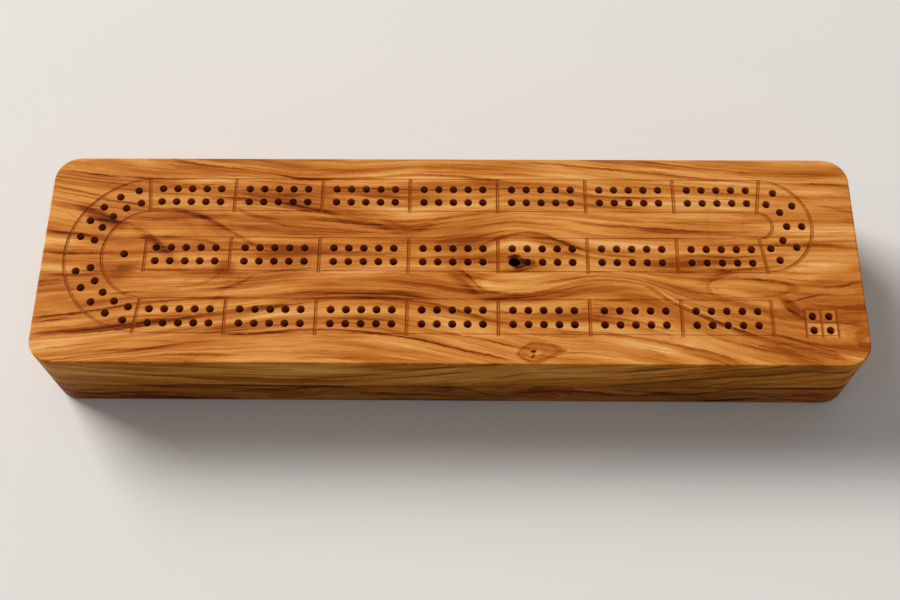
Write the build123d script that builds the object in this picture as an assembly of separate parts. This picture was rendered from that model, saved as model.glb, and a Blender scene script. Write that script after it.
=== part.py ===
"""Cribbage box: a two-board wooden case with a continuous three-lane peg track on
top and a drawer for cards and pegs that slides out of its right-hand end.

Millimetres. The origin is the centre of the case's underside. +X runs along the
box towards the drawer's mouth, +Y towards the back and +Z up.
"""

from build123d import *
import os

# ---------------------------------------------------------------- case
CASE_LENGTH = 381.0
CASE_WIDTH = 107.0
TOP_BOARD_THICKNESS = 26.5
BASE_BOARD_THICKNESS = 22.0
CASE_CORNER_RADIUS = 12.0
TOP_EDGE_ROUND = 1.0
BASE_EDGE_ROUND = 2.0

# ---------------------------------------------------------------- drawer tunnel
TUNNEL_CEILING = 11.5
TUNNEL_FLOOR = 8.5
TUNNEL_SIDE_WALL = 12.7
TUNNEL_CORNER_RADIUS = 5.0
MOUTH_CHAMFER = 0.6

# ---------------------------------------------------------------- peg track
HOLE_DIAMETER = 3.7
HOLE_DEPTH = 7.0
HOLE_RIM_CHAMFER = 0.22
DRILL_POINT_HEIGHT = 0.9
HOLE_PITCH = 7.0
ROW_SPACING = 7.0
HOLES_PER_GROUP = 5
GROUPS_PER_LANE = 7
LANE_SPACING = 31.55
TRACK_CENTRE_Y = 1.25
TRACK_LEFT_MARGIN = 10.65
TRACK_RIGHT_MARGIN = 19.6
LEFT_TURN_LEAD = 2.5
RIGHT_TURN_LEAD = 5.4
LEFT_TURN_STEP = 15.0
RIGHT_TURN_OUTER_ANGLES = (0.0, 34.8, 67.3)
RIGHT_TURN_INNER_ANGLES = (0.0, 37.4, 72.4)
FINISH_HOLE_LEAD = 14.75

# ---------------------------------------------------------------- cut lines round the track
LINE_WIDTH = 1.2
LINE_DEPTH = 0.25
BAND_HALF_WIDTH = 8.7
LEFT_LINE_LEAD = 3.3
LEFT_LINE_TILT = 6.0
RIGHT_LINE_LEAD = -0.2
RIGHT_LINE_TILT = 8.0
RIGHT_INNER_RING_LEAD = 1.9
RIGHT_OUTER_RING_LEAD = 0.8
MIDDLE_LANE_CLOSE_LEAD = 5.0
FRONT_LANE_CLOSE_LEAD = 6.2

# ---------------------------------------------------------------- start block
START_FROM_END = 21.2
START_FROM_CENTRE = 32.6
START_HOLE_SPACING_X = 7.4
START_HOLE_SPACING_Y = 6.9
START_CELL_X = 7.15
START_CELL_Y = 6.4

# ---------------------------------------------------------------- open knot in the middle lane
# It opens beside the first lower hole of the fifth group, in two lobes of unlike size.
KNOT_GROUP = 4
KNOT_LARGE_OFFSET = 0.9
KNOT_LARGE_DIAMETER = 4.8
KNOT_LARGE_DEPTH = 3.6
KNOT_SMALL_OFFSET = 2.1
KNOT_SMALL_DIAMETER = 3.6
KNOT_SMALL_DEPTH = 2.2
KNOT_FLOOR_SHARE = 0.6

# ---------------------------------------------------------------- drawer
DRAWER_CLEARANCE = 0.4
DRAWER_END_GAP = 0.3
DRAWER_FRONT_THICKNESS = 15.0
DRAWER_FRONT_LIP = 7.0
DRAWER_FRONT_EDGE_ROUND = 0.5
DRAWER_SIDE_THICKNESS = 6.0
DRAWER_BACK_THICKNESS = 6.0
DRAWER_BOTTOM_THICKNESS = 3.0
DRAWER_BOTTOM_REBATE = 3.0
DRAWER_TRAVEL = 250.0
PEG_WELL_LENGTH = 58.0
CARD_WELL_LENGTH = 97.0
PEG_BLOCK_THICKNESS = 16.0
DIVIDER_THICKNESS = 5.0
DIVIDER_HEIGHT = 17.0
DIVIDER_HOUSING = 2.0
DIVIDER_EDGE_ROUND = 1.0

# ---------------------------------------------------------------- drawer joinery and fittings
DOWEL_DIAMETER = 3.0
DOWEL_LENGTH = 15.0
DOWEL_SPREAD = 13.0
STOP_FROM_MOUTH = 18.5
STOP_SHANK_DIAMETER = 3.5
STOP_HEAD_DIAMETER = 7.0
STOP_HEAD_HEIGHT = 2.2
STOP_TIP_REACH = 2.0
STOP_SLOT_DEPTH = 3.0
STOP_SLOT_CLEARANCE = 0.4
SCREW_SLOT_WIDTH = 0.9
SCREW_SLOT_DEPTH = 0.9
MAGNET_DIAMETER = 8.0
MAGNET_THICKNESS = 3.0
KNOB_DIAMETER = 10.0
KNOB_LENGTH = 6.5
KNOB_FOOT_DIAMETER = 7.0
KNOB_FOOT_HEIGHT = 0.8
KNOB_COVE_LENGTH = 2.3
KNOB_NECK_DIAMETER = 5.0
KNOB_FLARE_HEIGHT = 0.6
KNOB_RIM_HEIGHT = 0.6
KNOB_SCREW_DIAMETER = 3.0
KNOB_SCREW_HEAD_DIAMETER = 5.6
KNOB_SCREW_HEAD_HEIGHT = 1.6
KNOB_SCREW_BITE = 4.0
FIT_GAP = 0.05

# ---------------------------------------------------------------- pegs
PEGS_PER_PLAYER = 2
PEG_EDGE_MARGIN = 11.9
PEG_SHAFT_DIAMETER = 3.4
PEG_SHAFT_LENGTH = 12.0
PEG_TIP_BEVEL = 0.6
PEG_HEAD_DIAMETER = 6.0
PEG_HEAD_LENGTH = 15.0
PEG_CROWN_RISE = 1.2
PEG_COLLAR_DIAMETER = 5.2
PEG_COLLAR_HEIGHT = 1.6
PEG_WAIST_DIAMETER = 3.8
PEG_WAIST_LENGTH = 4.4
PEG_SHOULDER_HEIGHT = 0.8
PEG_HOLE_SPARE_DEPTH = 0.5

# ---------------------------------------------------------------- sizes that follow
CASE_HEIGHT = TOP_BOARD_THICKNESS + BASE_BOARD_THICKNESS
MOUTH_X = CASE_LENGTH / 2
BACK_FACE_Y = CASE_WIDTH / 2

DRAWER_LENGTH = (
    DRAWER_FRONT_THICKNESS + PEG_WELL_LENGTH + PEG_BLOCK_THICKNESS
    + 2 * CARD_WELL_LENGTH + DIVIDER_THICKNESS + DRAWER_BACK_THICKNESS
)
TUNNEL_WIDTH = CASE_WIDTH - 2 * TUNNEL_SIDE_WALL
TUNNEL_TOP_Z = CASE_HEIGHT - TUNNEL_CEILING
TUNNEL_END_X = MOUTH_X - DRAWER_LENGTH - DRAWER_END_GAP

DRAWER_REAR_X = MOUTH_X - DRAWER_LENGTH
DRAWER_WIDTH = TUNNEL_WIDTH - 2 * DRAWER_CLEARANCE
DRAWER_BASE_Z = TUNNEL_FLOOR + DRAWER_CLEARANCE
DRAWER_TOP_Z = TUNNEL_TOP_Z - DRAWER_CLEARANCE
DRAWER_HEIGHT = DRAWER_TOP_Z - DRAWER_BASE_Z
DRAWER_INSIDE_WIDTH = DRAWER_WIDTH - 2 * DRAWER_SIDE_THICKNESS
DRAWER_INSIDE_Z = DRAWER_BASE_Z + DRAWER_BOTTOM_THICKNESS
DRAWER_CORNER_RADIUS = min(TUNNEL_CORNER_RADIUS + DRAWER_CLEARANCE, DRAWER_SIDE_THICKNESS - 0.5)
FRONT_INNER_X = MOUTH_X - DRAWER_FRONT_THICKNESS
LIP_INNER_X = MOUTH_X - DRAWER_FRONT_LIP
PEG_BLOCK_FACE_X = FRONT_INNER_X - PEG_WELL_LENGTH
PEG_BLOCK_REAR_X = PEG_BLOCK_FACE_X - PEG_BLOCK_THICKNESS
DIVIDER_FACE_X = PEG_BLOCK_REAR_X - CARD_WELL_LENGTH
DIVIDER_REAR_X = DIVIDER_FACE_X - DIVIDER_THICKNESS
BACK_INNER_X = DRAWER_REAR_X + DRAWER_BACK_THICKNESS
DRAWER_MIDDLE_Z = (DRAWER_BASE_Z + DRAWER_TOP_Z) / 2

STOP_X = MOUTH_X - STOP_FROM_MOUTH
STOP_Z = (TUNNEL_FLOOR + BASE_BOARD_THICKNESS) / 2
MAGNET_Z = (DRAWER_INSIDE_Z + BASE_BOARD_THICKNESS) / 2

LEFT_TURN_X = -CASE_LENGTH / 2 + TRACK_LEFT_MARGIN + LANE_SPACING + BAND_HALF_WIDTH
RIGHT_TURN_RADIUS = LANE_SPACING / 2
RIGHT_TURN_X = CASE_LENGTH / 2 - TRACK_RIGHT_MARGIN - RIGHT_TURN_RADIUS - BAND_HALF_WIDTH
RIGHT_TURN_Y = TRACK_CENTRE_Y + RIGHT_TURN_RADIUS
FIRST_HOLE_X = LEFT_TURN_X + LEFT_TURN_LEAD
LAST_HOLE_X = RIGHT_TURN_X - RIGHT_TURN_LEAD
GROUP_LENGTH = (HOLES_PER_GROUP - 1) * HOLE_PITCH
GROUP_PITCH = (LAST_HOLE_X - FIRST_HOLE_X - GROUP_LENGTH) / (GROUPS_PER_LANE - 1)
FRONT_LANE_Y = TRACK_CENTRE_Y - LANE_SPACING
MIDDLE_LANE_Y = TRACK_CENTRE_Y
BACK_LANE_Y = TRACK_CENTRE_Y + LANE_SPACING
ROW_OFFSET = ROW_SPACING / 2
START_X = MOUTH_X - START_FROM_END
START_Y = -START_FROM_CENTRE
PEG_COUNT = 2 * PEGS_PER_PLAYER
PEG_SPACING = (DRAWER_INSIDE_WIDTH - 2 * PEG_EDGE_MARGIN) / (PEG_COUNT - 1)


def block(x_low, x_high, y_low, y_high, z_low, z_high):
    """A box given by its lowest and highest corners."""
    middle = Pos((x_low + x_high) / 2, (y_low + y_high) / 2, (z_low + z_high) / 2)
    return middle * Box(x_high - x_low, y_high - y_low, z_high - z_low)


def polar_point(centre_x, centre_y, radius, angle):
    """The point at an angle in degrees on a circle, as an x, y pair."""
    spoke = Vector(radius, 0, 0).rotate(Axis.Z, angle)
    return centre_x + spoke.X, centre_y + spoke.Y


def turned(profile_points, axis_place):
    """A solid of revolution: points are (radius, height) pairs, turned about the local Z axis."""
    outline = make_face(Polyline(*[(radius, 0, height) for radius, height in profile_points], close=True))
    return axis_place * revolve(outline, Axis.Z)


def dome_arc(radius, low, top):
    """The arc of a dome's half-section, from its rim at height low to its crown on the axis."""
    rise = top - low
    ball = (radius * radius + rise * rise) / (2 * rise)
    to_rim = Vector(radius, 0, ball - rise).normalized()
    to_middle = (to_rim + Vector(0, 0, 1)).normalized() * ball
    return ThreePointArc((radius, 0, low), (to_middle.X, 0, top - ball + to_middle.Z), (0, 0, top))


def cove_arc(rim_radius, neck_radius, low, high):
    """The arc of an even waist's half-section, from its lower rim to its upper one."""
    return ThreePointArc((rim_radius, 0, low), (neck_radius, 0, (low + high) / 2), (rim_radius, 0, high))


def line_run(*points):
    """Straight half-section lines through (radius, height) points."""
    return Polyline(*[(radius, 0, height) for radius, height in points])


# ---------------------------------------------------------------- where the holes are

def straight_holes():
    """Seven groups of five hole pairs in each of the three lanes."""
    places = []
    for lane_y in (BACK_LANE_Y, MIDDLE_LANE_Y, FRONT_LANE_Y):
        for group in range(GROUPS_PER_LANE):
            for column in range(HOLES_PER_GROUP):
                x = FIRST_HOLE_X + group * GROUP_PITCH + column * HOLE_PITCH
                places.append((x, lane_y + ROW_OFFSET))
                places.append((x, lane_y - ROW_OFFSET))
    return places


def left_turn_holes():
    """Two groups of five hole pairs round the left turn, on either side of its middle."""
    places = []
    for side in (-1, 1):
        for step in range(1, HOLES_PER_GROUP + 1):
            angle = 180 + side * step * LEFT_TURN_STEP
            for radius in (LANE_SPACING - ROW_OFFSET, LANE_SPACING + ROW_OFFSET):
                places.append(polar_point(LEFT_TURN_X, TRACK_CENTRE_Y, radius, angle))
    return places


def right_turn_holes():
    """One group of five hole pairs round the tight right turn."""
    rows = (
        (RIGHT_TURN_RADIUS + ROW_OFFSET, RIGHT_TURN_OUTER_ANGLES),
        (RIGHT_TURN_RADIUS - ROW_OFFSET, RIGHT_TURN_INNER_ANGLES),
    )
    places = []
    for radius, half_angles in rows:
        for angle in sorted({sign * half for half in half_angles for sign in (-1, 1)}):
            places.append(polar_point(RIGHT_TURN_X, RIGHT_TURN_Y, radius, angle))
    return places


def start_holes():
    """The two-by-two block where both players' pegs wait."""
    return [
        (START_X + i * START_HOLE_SPACING_X / 2, START_Y + j * START_HOLE_SPACING_Y / 2)
        for i in (-1, 1)
        for j in (-1, 1)
    ]


def hole_cutter(x, y):
    """One peg hole: chamfered rim, straight wall and the drill's pointed end."""
    radius = HOLE_DIAMETER / 2
    profile = [
        (0, 1),
        (radius + HOLE_RIM_CHAMFER + 1, 1),
        (radius, -HOLE_RIM_CHAMFER),
        (radius, -HOLE_DEPTH),
        (0, -HOLE_DEPTH - DRILL_POINT_HEIGHT),
    ]
    return turned(profile, Pos(x, y, CASE_HEIGHT))


# ---------------------------------------------------------------- the lines cut round the track

def line_strip(x_from, y_from, x_to, y_to):
    """A straight cut line as a flat strip, with square ends half a line width past its points."""
    run = Vector(x_to - x_from, y_to - y_from, 0)
    angle = Vector(1, 0, 0).get_signed_angle(run, Vector(0, 0, 1))
    middle = Pos((x_from + x_to) / 2, (y_from + y_to) / 2) * Rot(0, 0, angle)
    return middle * Rectangle(run.length + LINE_WIDTH, LINE_WIDTH)


def line_half_ring(centre_x, centre_y, radius, side):
    """A half-round cut line, on the left (side -1) or right (side 1) of its centre."""
    outer = radius + LINE_WIDTH / 2
    ring = Circle(outer) - Circle(radius - LINE_WIDTH / 2)
    half = Pos(side * outer, 0) * Rectangle(2 * outer, 4 * outer)
    return Pos(centre_x, centre_y) * (ring & half)


def cross_line(x, lane_y, tilt):
    """A line across one lane, tilted by some degrees about the lane's middle."""
    top_x, top_y = polar_point(x, lane_y, BAND_HALF_WIDTH, 90 + tilt)
    low_x, low_y = polar_point(x, lane_y, BAND_HALF_WIDTH, 270 + tilt)
    return line_strip(low_x, low_y, top_x, top_y)


def track_lines():
    """All the cut lines: lane edges, the turns' rings, the cross lines and the start grid."""
    middle_end_x = FIRST_HOLE_X - MIDDLE_LANE_CLOSE_LEAD
    front_end_x = LAST_HOLE_X + FRONT_LANE_CLOSE_LEAD
    inner_ring_x = RIGHT_TURN_X - RIGHT_INNER_RING_LEAD
    outer_ring_x = RIGHT_TURN_X - RIGHT_OUTER_RING_LEAD
    lane_edges = (
        (BACK_LANE_Y, LEFT_TURN_X, inner_ring_x, outer_ring_x),
        (MIDDLE_LANE_Y, middle_end_x, outer_ring_x, inner_ring_x),
        (FRONT_LANE_Y, LEFT_TURN_X, front_end_x, front_end_x),
    )
    strips = []
    for lane_y, x_from, lower_x_to, upper_x_to in lane_edges:
        for edge_y, x_to in ((lane_y - BAND_HALF_WIDTH, lower_x_to), (lane_y + BAND_HALF_WIDTH, upper_x_to)):
            strips.append(line_strip(x_from, edge_y, x_to, edge_y))
        for gap in range(1, GROUPS_PER_LANE):
            gap_x = FIRST_HOLE_X + gap * GROUP_PITCH - (GROUP_PITCH - GROUP_LENGTH) / 2
            strips.append(cross_line(gap_x, lane_y, 0))
    strips.append(cross_line(middle_end_x, MIDDLE_LANE_Y, 0))
    strips.append(cross_line(front_end_x, FRONT_LANE_Y, 0))
    strips.append(cross_line(LEFT_TURN_X - LEFT_LINE_LEAD, BACK_LANE_Y, LEFT_LINE_TILT))
    strips.append(cross_line(LEFT_TURN_X - LEFT_LINE_LEAD, FRONT_LANE_Y, -LEFT_LINE_TILT))
    strips.append(cross_line(RIGHT_TURN_X + RIGHT_LINE_LEAD, BACK_LANE_Y, -RIGHT_LINE_TILT))
    strips.append(cross_line(RIGHT_TURN_X + RIGHT_LINE_LEAD, MIDDLE_LANE_Y, RIGHT_LINE_TILT))
    for offset, right_x in ((-BAND_HALF_WIDTH, inner_ring_x), (BAND_HALF_WIDTH, outer_ring_x)):
        strips.append(line_half_ring(LEFT_TURN_X, TRACK_CENTRE_Y, LANE_SPACING + offset, -1))
        strips.append(line_half_ring(right_x, RIGHT_TURN_Y, RIGHT_TURN_RADIUS + offset, 1))
    for step in (-1, 0, 1):
        x = START_X + step * START_CELL_X
        y = START_Y + step * START_CELL_Y
        strips.append(line_strip(START_X - START_CELL_X, y, START_X + START_CELL_X, y))
        strips.append(line_strip(x, START_Y - START_CELL_Y, x, START_Y + START_CELL_Y))
    return Pos(0, 0, CASE_HEIGHT) * extrude(Sketch() + strips, amount=LINE_DEPTH, both=True)


# ---------------------------------------------------------------- case pieces

def tunnel_cutter(z_low, z_high):
    """The drawer's tunnel between two heights, open at the mouth and rounded at its blind end."""
    length = MOUTH_X - TUNNEL_END_X
    tunnel = block(TUNNEL_END_X, MOUTH_X + 1, -TUNNEL_WIDTH / 2, TUNNEL_WIDTH / 2, z_low, z_high)
    blind_edges = tunnel.edges().filter_by(Axis.Z).group_by(Axis.X)[0]
    tunnel = fillet(blind_edges, min(TUNNEL_CORNER_RADIUS, length / 4))
    return tunnel


def mouth_chamfer_cutter():
    """The small bevel round the tunnel's mouth: a four-sided frustum that widens outwards."""
    middle_z = (TUNNEL_FLOOR + TUNNEL_TOP_Z) / 2
    height = TUNNEL_TOP_Z - TUNNEL_FLOOR
    inner = Plane(origin=(MOUTH_X - MOUTH_CHAMFER, 0, middle_z), x_dir=(0, 1, 0), z_dir=(1, 0, 0))
    outer = inner.offset(2 * MOUTH_CHAMFER)
    spread = 4 * MOUTH_CHAMFER
    return loft([
        inner * Rectangle(TUNNEL_WIDTH, height),
        outer * Rectangle(TUNNEL_WIDTH + spread, height + spread),
    ])


def board_blank(z_low, z_high):
    """A board with the case's rounded outline between two heights."""
    outline = Pos(0, 0, z_low) * RectangleRounded(CASE_LENGTH, CASE_WIDTH, CASE_CORNER_RADIUS)
    return extrude(outline, amount=z_high - z_low)


def knot_cutters():
    """The two lobes of the large knot's open centre, narrower at their floors."""
    hole_x = FIRST_HOLE_X + KNOT_GROUP * GROUP_PITCH
    lobes = (
        (KNOT_LARGE_OFFSET, KNOT_LARGE_DIAMETER / 2, KNOT_LARGE_DEPTH),
        (KNOT_SMALL_OFFSET, KNOT_SMALL_DIAMETER / 2, KNOT_SMALL_DEPTH),
    )
    cutters = []
    for offset, radius, depth in lobes:
        profile = [(0, 1), (radius, 1), (radius, 0), (radius * KNOT_FLOOR_SHARE, -depth), (0, -depth)]
        cutters.append(turned(profile, Pos(hole_x + offset, MIDDLE_LANE_Y - ROW_OFFSET, CASE_HEIGHT)))
    return cutters


def make_top_board():
    """The upper board: playing face, peg holes, cut lines and the upper half of the tunnel."""
    board = board_blank(BASE_BOARD_THICKNESS, CASE_HEIGHT)
    board = fillet(board.faces().sort_by(Axis.Z)[-1].edges(), TOP_EDGE_ROUND)
    board -= tunnel_cutter(BASE_BOARD_THICKNESS - 1, TUNNEL_TOP_Z)
    board -= mouth_chamfer_cutter()
    finish = (FIRST_HOLE_X - FINISH_HOLE_LEAD, TRACK_CENTRE_Y)
    places = straight_holes() + left_turn_holes() + right_turn_holes() + start_holes() + [finish]
    board -= [hole_cutter(x, y) for x, y in places]
    board -= track_lines()
    board -= knot_cutters()
    print("peg holes", len(places))
    return board


def stop_screw_place():
    """The stop screw's frame: origin on the back face, local Z pointing out of the box."""
    return Pos(STOP_X, BACK_FACE_Y, STOP_Z) * Rot(-90, 0, 0)


def countersunk_profile(shank_radius, head_radius, head_height, length):
    """Half-section of a countersunk screw whose head is flush with height zero."""
    return [(0, 0), (head_radius, 0), (shank_radius, -head_height), (shank_radius, -length), (0, -length)]


def countersunk_cutter(shank_radius, head_radius, head_height, length):
    """The hole for such a screw, wider by the fit gap and open above its head."""
    return [
        (0, 1),
        (head_radius + FIT_GAP, 1),
        (head_radius + FIT_GAP, 0),
        (shank_radius + FIT_GAP, -head_height),
        (shank_radius + FIT_GAP, -length),
        (0, -length),
    ]


def screw_slot(place, head_radius):
    """The screwdriver slot across a head."""
    return place * Box(2 * head_radius + 1, SCREW_SLOT_WIDTH, 2 * SCREW_SLOT_DEPTH)


def magnet_solid(face_x, z, towards):
    """A disc magnet with its face at face_x and its body running in the given X direction."""
    place = Pos(face_x + towards * MAGNET_THICKNESS / 2, 0, z) * Rot(0, 90, 0)
    return place * Cylinder(MAGNET_DIAMETER / 2, MAGNET_THICKNESS)


def magnet_pocket(face_x, z, towards):
    """The blind pocket that a magnet is pressed into."""
    place = Pos(face_x + towards * (MAGNET_THICKNESS - 1) / 2, 0, z) * Rot(0, 90, 0)
    return place * Cylinder(MAGNET_DIAMETER / 2 + FIT_GAP, MAGNET_THICKNESS + 1)


def make_base_board():
    """The lower board: the tunnel's floor and lower walls, and the stop screw's hole."""
    board = board_blank(0, BASE_BOARD_THICKNESS)
    board = fillet(board.faces().sort_by(Axis.Z)[0].edges(), BASE_EDGE_ROUND)
    board -= tunnel_cutter(TUNNEL_FLOOR, BASE_BOARD_THICKNESS + 1)
    board -= mouth_chamfer_cutter()
    hole = countersunk_cutter(
        STOP_SHANK_DIAMETER / 2, STOP_HEAD_DIAMETER / 2, STOP_HEAD_HEIGHT, TUNNEL_SIDE_WALL + 1
    )
    board -= turned(hole, stop_screw_place())
    board -= magnet_pocket(TUNNEL_END_X, MAGNET_Z, -1)
    return board


def make_case_magnet():
    """The catch's fixed half, pressed into the tunnel's end wall."""
    return magnet_solid(TUNNEL_END_X, MAGNET_Z, -1)


def make_stop_screw():
    """The brass screw through the back wall whose tip runs in the drawer side's slot."""
    length = TUNNEL_SIDE_WALL + DRAWER_CLEARANCE + STOP_TIP_REACH
    profile = countersunk_profile(
        STOP_SHANK_DIAMETER / 2, STOP_HEAD_DIAMETER / 2, STOP_HEAD_HEIGHT, length
    )
    screw = turned(profile, stop_screw_place())
    return screw - screw_slot(stop_screw_place(), STOP_HEAD_DIAMETER / 2)


# ---------------------------------------------------------------- drawer pieces

def dowel_places():
    """Each dowel's frame: origin on the side's outer face, local Z pointing into the drawer."""
    front_x = (FRONT_INNER_X + LIP_INNER_X) / 2
    back_x = (DRAWER_REAR_X + BACK_INNER_X) / 2
    places = []
    for x in (front_x, back_x):
        for side in (-1, 1):
            for level in (-1, 1):
                z = (DRAWER_INSIDE_Z + DRAWER_TOP_Z) / 2 + level * DOWEL_SPREAD / 2
                places.append(Pos(x, side * DRAWER_WIDTH / 2, z) * Rot(side * 90, 0, 0))
    return places


def dowel_cutters():
    """The holes that the dowels are glued into."""
    cutter = Cylinder(DOWEL_DIAMETER / 2 + FIT_GAP, DOWEL_LENGTH + 1)
    return [place * Pos(0, 0, (DOWEL_LENGTH - 1) / 2) * cutter for place in dowel_places()]


def drawer_outline():
    """The drawer's outer form without its hollow: square in front, rounded at its rear corners."""
    outline = block(
        DRAWER_REAR_X, MOUTH_X, -DRAWER_WIDTH / 2, DRAWER_WIDTH / 2, DRAWER_BASE_Z, DRAWER_TOP_Z
    )
    rear_edges = outline.edges().filter_by(Axis.Z).group_by(Axis.X)[0]
    return fillet(rear_edges, DRAWER_CORNER_RADIUS)


def make_drawer_dowels():
    """Eight dowels that pin the drawer's four corners, trimmed flush with its sides."""
    outline = drawer_outline()
    dowel = Pos(0, 0, DOWEL_LENGTH / 2) * Cylinder(DOWEL_DIAMETER / 2, DOWEL_LENGTH)
    return Compound([(outline & place * dowel).solid() for place in dowel_places()])


def knob_place():
    """The knob's frame: origin on the drawer front's face, local Z pointing out of the box."""
    return Pos(MOUTH_X, 0, DRAWER_MIDDLE_Z) * Rot(0, 90, 0)


def knob_screw_place():
    """The knob screw's frame: origin on the front's inner face, local Z pointing into the drawer."""
    return Pos(FRONT_INNER_X, 0, DRAWER_MIDDLE_Z) * Rot(0, -90, 0)


def make_drawer_front():
    """The front: a lip that fills the tunnel's mouth and a thicker middle that fits between the sides."""
    lip = block(
        LIP_INNER_X, MOUTH_X, -DRAWER_WIDTH / 2, DRAWER_WIDTH / 2, DRAWER_BASE_Z, DRAWER_TOP_Z
    )
    lip = fillet(lip.faces().sort_by(Axis.X)[-1].edges(), DRAWER_FRONT_EDGE_ROUND)
    middle = block(
        FRONT_INNER_X, LIP_INNER_X, -DRAWER_INSIDE_WIDTH / 2, DRAWER_INSIDE_WIDTH / 2,
        DRAWER_INSIDE_Z, DRAWER_TOP_Z,
    )
    front = lip + middle
    hole = countersunk_cutter(
        KNOB_SCREW_DIAMETER / 2, KNOB_SCREW_HEAD_DIAMETER / 2, KNOB_SCREW_HEAD_HEIGHT,
        DRAWER_FRONT_THICKNESS + 1,
    )
    front -= turned(hole, knob_screw_place())
    return front - dowel_cutters()


def make_drawer_side(side):
    """A side, on the back (1) or front (-1) of the box: rebated below and housed for the dividers."""
    outer_y = side * DRAWER_WIDTH / 2
    inner_y = side * DRAWER_INSIDE_WIDTH / 2
    y_low, y_high = min(outer_y, inner_y), max(outer_y, inner_y)
    panel = block(DRAWER_REAR_X, LIP_INNER_X, y_low, y_high, DRAWER_BASE_Z, DRAWER_TOP_Z)
    panel &= drawer_outline()
    rebate_y = inner_y + side * DRAWER_BOTTOM_REBATE
    panel -= block(
        DRAWER_REAR_X - 1, LIP_INNER_X + 1, min(inner_y, rebate_y) - (side > 0),
        max(inner_y, rebate_y) + (side < 0), DRAWER_BASE_Z - 1, DRAWER_INSIDE_Z,
    )
    housing_y = inner_y + side * DIVIDER_HOUSING
    for x_rear, x_face in ((PEG_BLOCK_REAR_X, PEG_BLOCK_FACE_X), (DIVIDER_REAR_X, DIVIDER_FACE_X)):
        panel -= block(
            x_rear, x_face, min(inner_y, housing_y) - (side > 0),
            max(inner_y, housing_y) + (side < 0), DRAWER_INSIDE_Z, DRAWER_INSIDE_Z + DIVIDER_HEIGHT,
        )
    if side > 0:
        panel -= stop_slot_cutter()
    return panel - dowel_cutters()


def stop_slot_cutter():
    """The slot outside the back-hand side: its two ends meet the stop screw and set the travel."""
    radius = STOP_SHANK_DIAMETER / 2 + STOP_SLOT_CLEARANCE
    slot = SlotCenterToCenter(DRAWER_TRAVEL, 2 * radius)
    plane = Plane(
        origin=(STOP_X - DRAWER_TRAVEL / 2, DRAWER_WIDTH / 2 - STOP_SLOT_DEPTH, STOP_Z),
        x_dir=(1, 0, 0), z_dir=(0, 1, 0),
    )
    return extrude(plane * slot, amount=STOP_SLOT_DEPTH + 1)


def make_drawer_back():
    """The back, between the sides and on top of the bottom, with the catch magnet's pocket."""
    panel = block(
        DRAWER_REAR_X, BACK_INNER_X, -DRAWER_INSIDE_WIDTH / 2, DRAWER_INSIDE_WIDTH / 2,
        DRAWER_INSIDE_Z, DRAWER_TOP_Z,
    )
    panel -= magnet_pocket(DRAWER_REAR_X, MAGNET_Z, 1)
    return panel - dowel_cutters()


def make_drawer_magnet():
    """The catch's moving half, pressed into the drawer's back."""
    return magnet_solid(DRAWER_REAR_X, MAGNET_Z, 1)


def make_drawer_bottom():
    """The bottom panel, let into the sides' rebates and flush with their lower edges."""
    half_width = DRAWER_INSIDE_WIDTH / 2 + DRAWER_BOTTOM_REBATE
    return block(
        DRAWER_REAR_X, LIP_INNER_X, -half_width, half_width, DRAWER_BASE_Z, DRAWER_INSIDE_Z
    )


def cross_panel(x_rear, x_face):
    """A cross piece housed in both sides, low enough for a thumb to reach a pack over it."""
    half_width = DRAWER_INSIDE_WIDTH / 2 + DIVIDER_HOUSING
    panel = block(
        x_rear, x_face, -half_width, half_width, DRAWER_INSIDE_Z, DRAWER_INSIDE_Z + DIVIDER_HEIGHT
    )
    top_edges = panel.faces().sort_by(Axis.Z)[-1].edges().filter_by(Axis.Y)
    return fillet(top_edges, DIVIDER_EDGE_ROUND)


def peg_places():
    """Each stored peg's frame: origin on the peg block's face, local Z towards the drawer front."""
    z = DRAWER_INSIDE_Z + DIVIDER_HEIGHT / 2
    return [
        Pos(PEG_BLOCK_FACE_X, (index - (PEG_COUNT - 1) / 2) * PEG_SPACING, z) * Rot(0, 90, 0)
        for index in range(PEG_COUNT)
    ]


def make_peg_block():
    """The front divider, drilled along the drawer to hold the pegs by their shafts."""
    panel = cross_panel(PEG_BLOCK_REAR_X, PEG_BLOCK_FACE_X)
    depth = PEG_SHAFT_LENGTH + PEG_HOLE_SPARE_DEPTH
    cutter = Pos(0, 0, (1 - depth) / 2) * Cylinder(HOLE_DIAMETER / 2, depth + 1)
    return panel - [place * cutter for place in peg_places()]


def make_drawer_knob():
    """A small turned knob: foot, cove neck, flared rim and domed face, tapped from behind."""
    foot = KNOB_FOOT_DIAMETER / 2
    head = KNOB_DIAMETER / 2
    cove_top = KNOB_FOOT_HEIGHT + KNOB_COVE_LENGTH
    rim_low = cove_top + KNOB_FLARE_HEIGHT
    rim_top = rim_low + KNOB_RIM_HEIGHT
    half_section = make_face([
        line_run((0, 0), (foot, 0), (foot, KNOB_FOOT_HEIGHT)),
        cove_arc(foot, KNOB_NECK_DIAMETER / 2, KNOB_FOOT_HEIGHT, cove_top),
        line_run((foot, cove_top), (head, rim_low), (head, rim_top)),
        dome_arc(head, rim_top, KNOB_LENGTH),
        line_run((0, KNOB_LENGTH), (0, 0)),
    ])
    knob = knob_place() * revolve(half_section, Axis.Z)
    tapping = Cylinder(KNOB_SCREW_DIAMETER / 2 + FIT_GAP, KNOB_SCREW_BITE + 1)
    return knob - knob_place() * Pos(0, 0, (KNOB_SCREW_BITE - 1) / 2) * tapping


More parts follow.
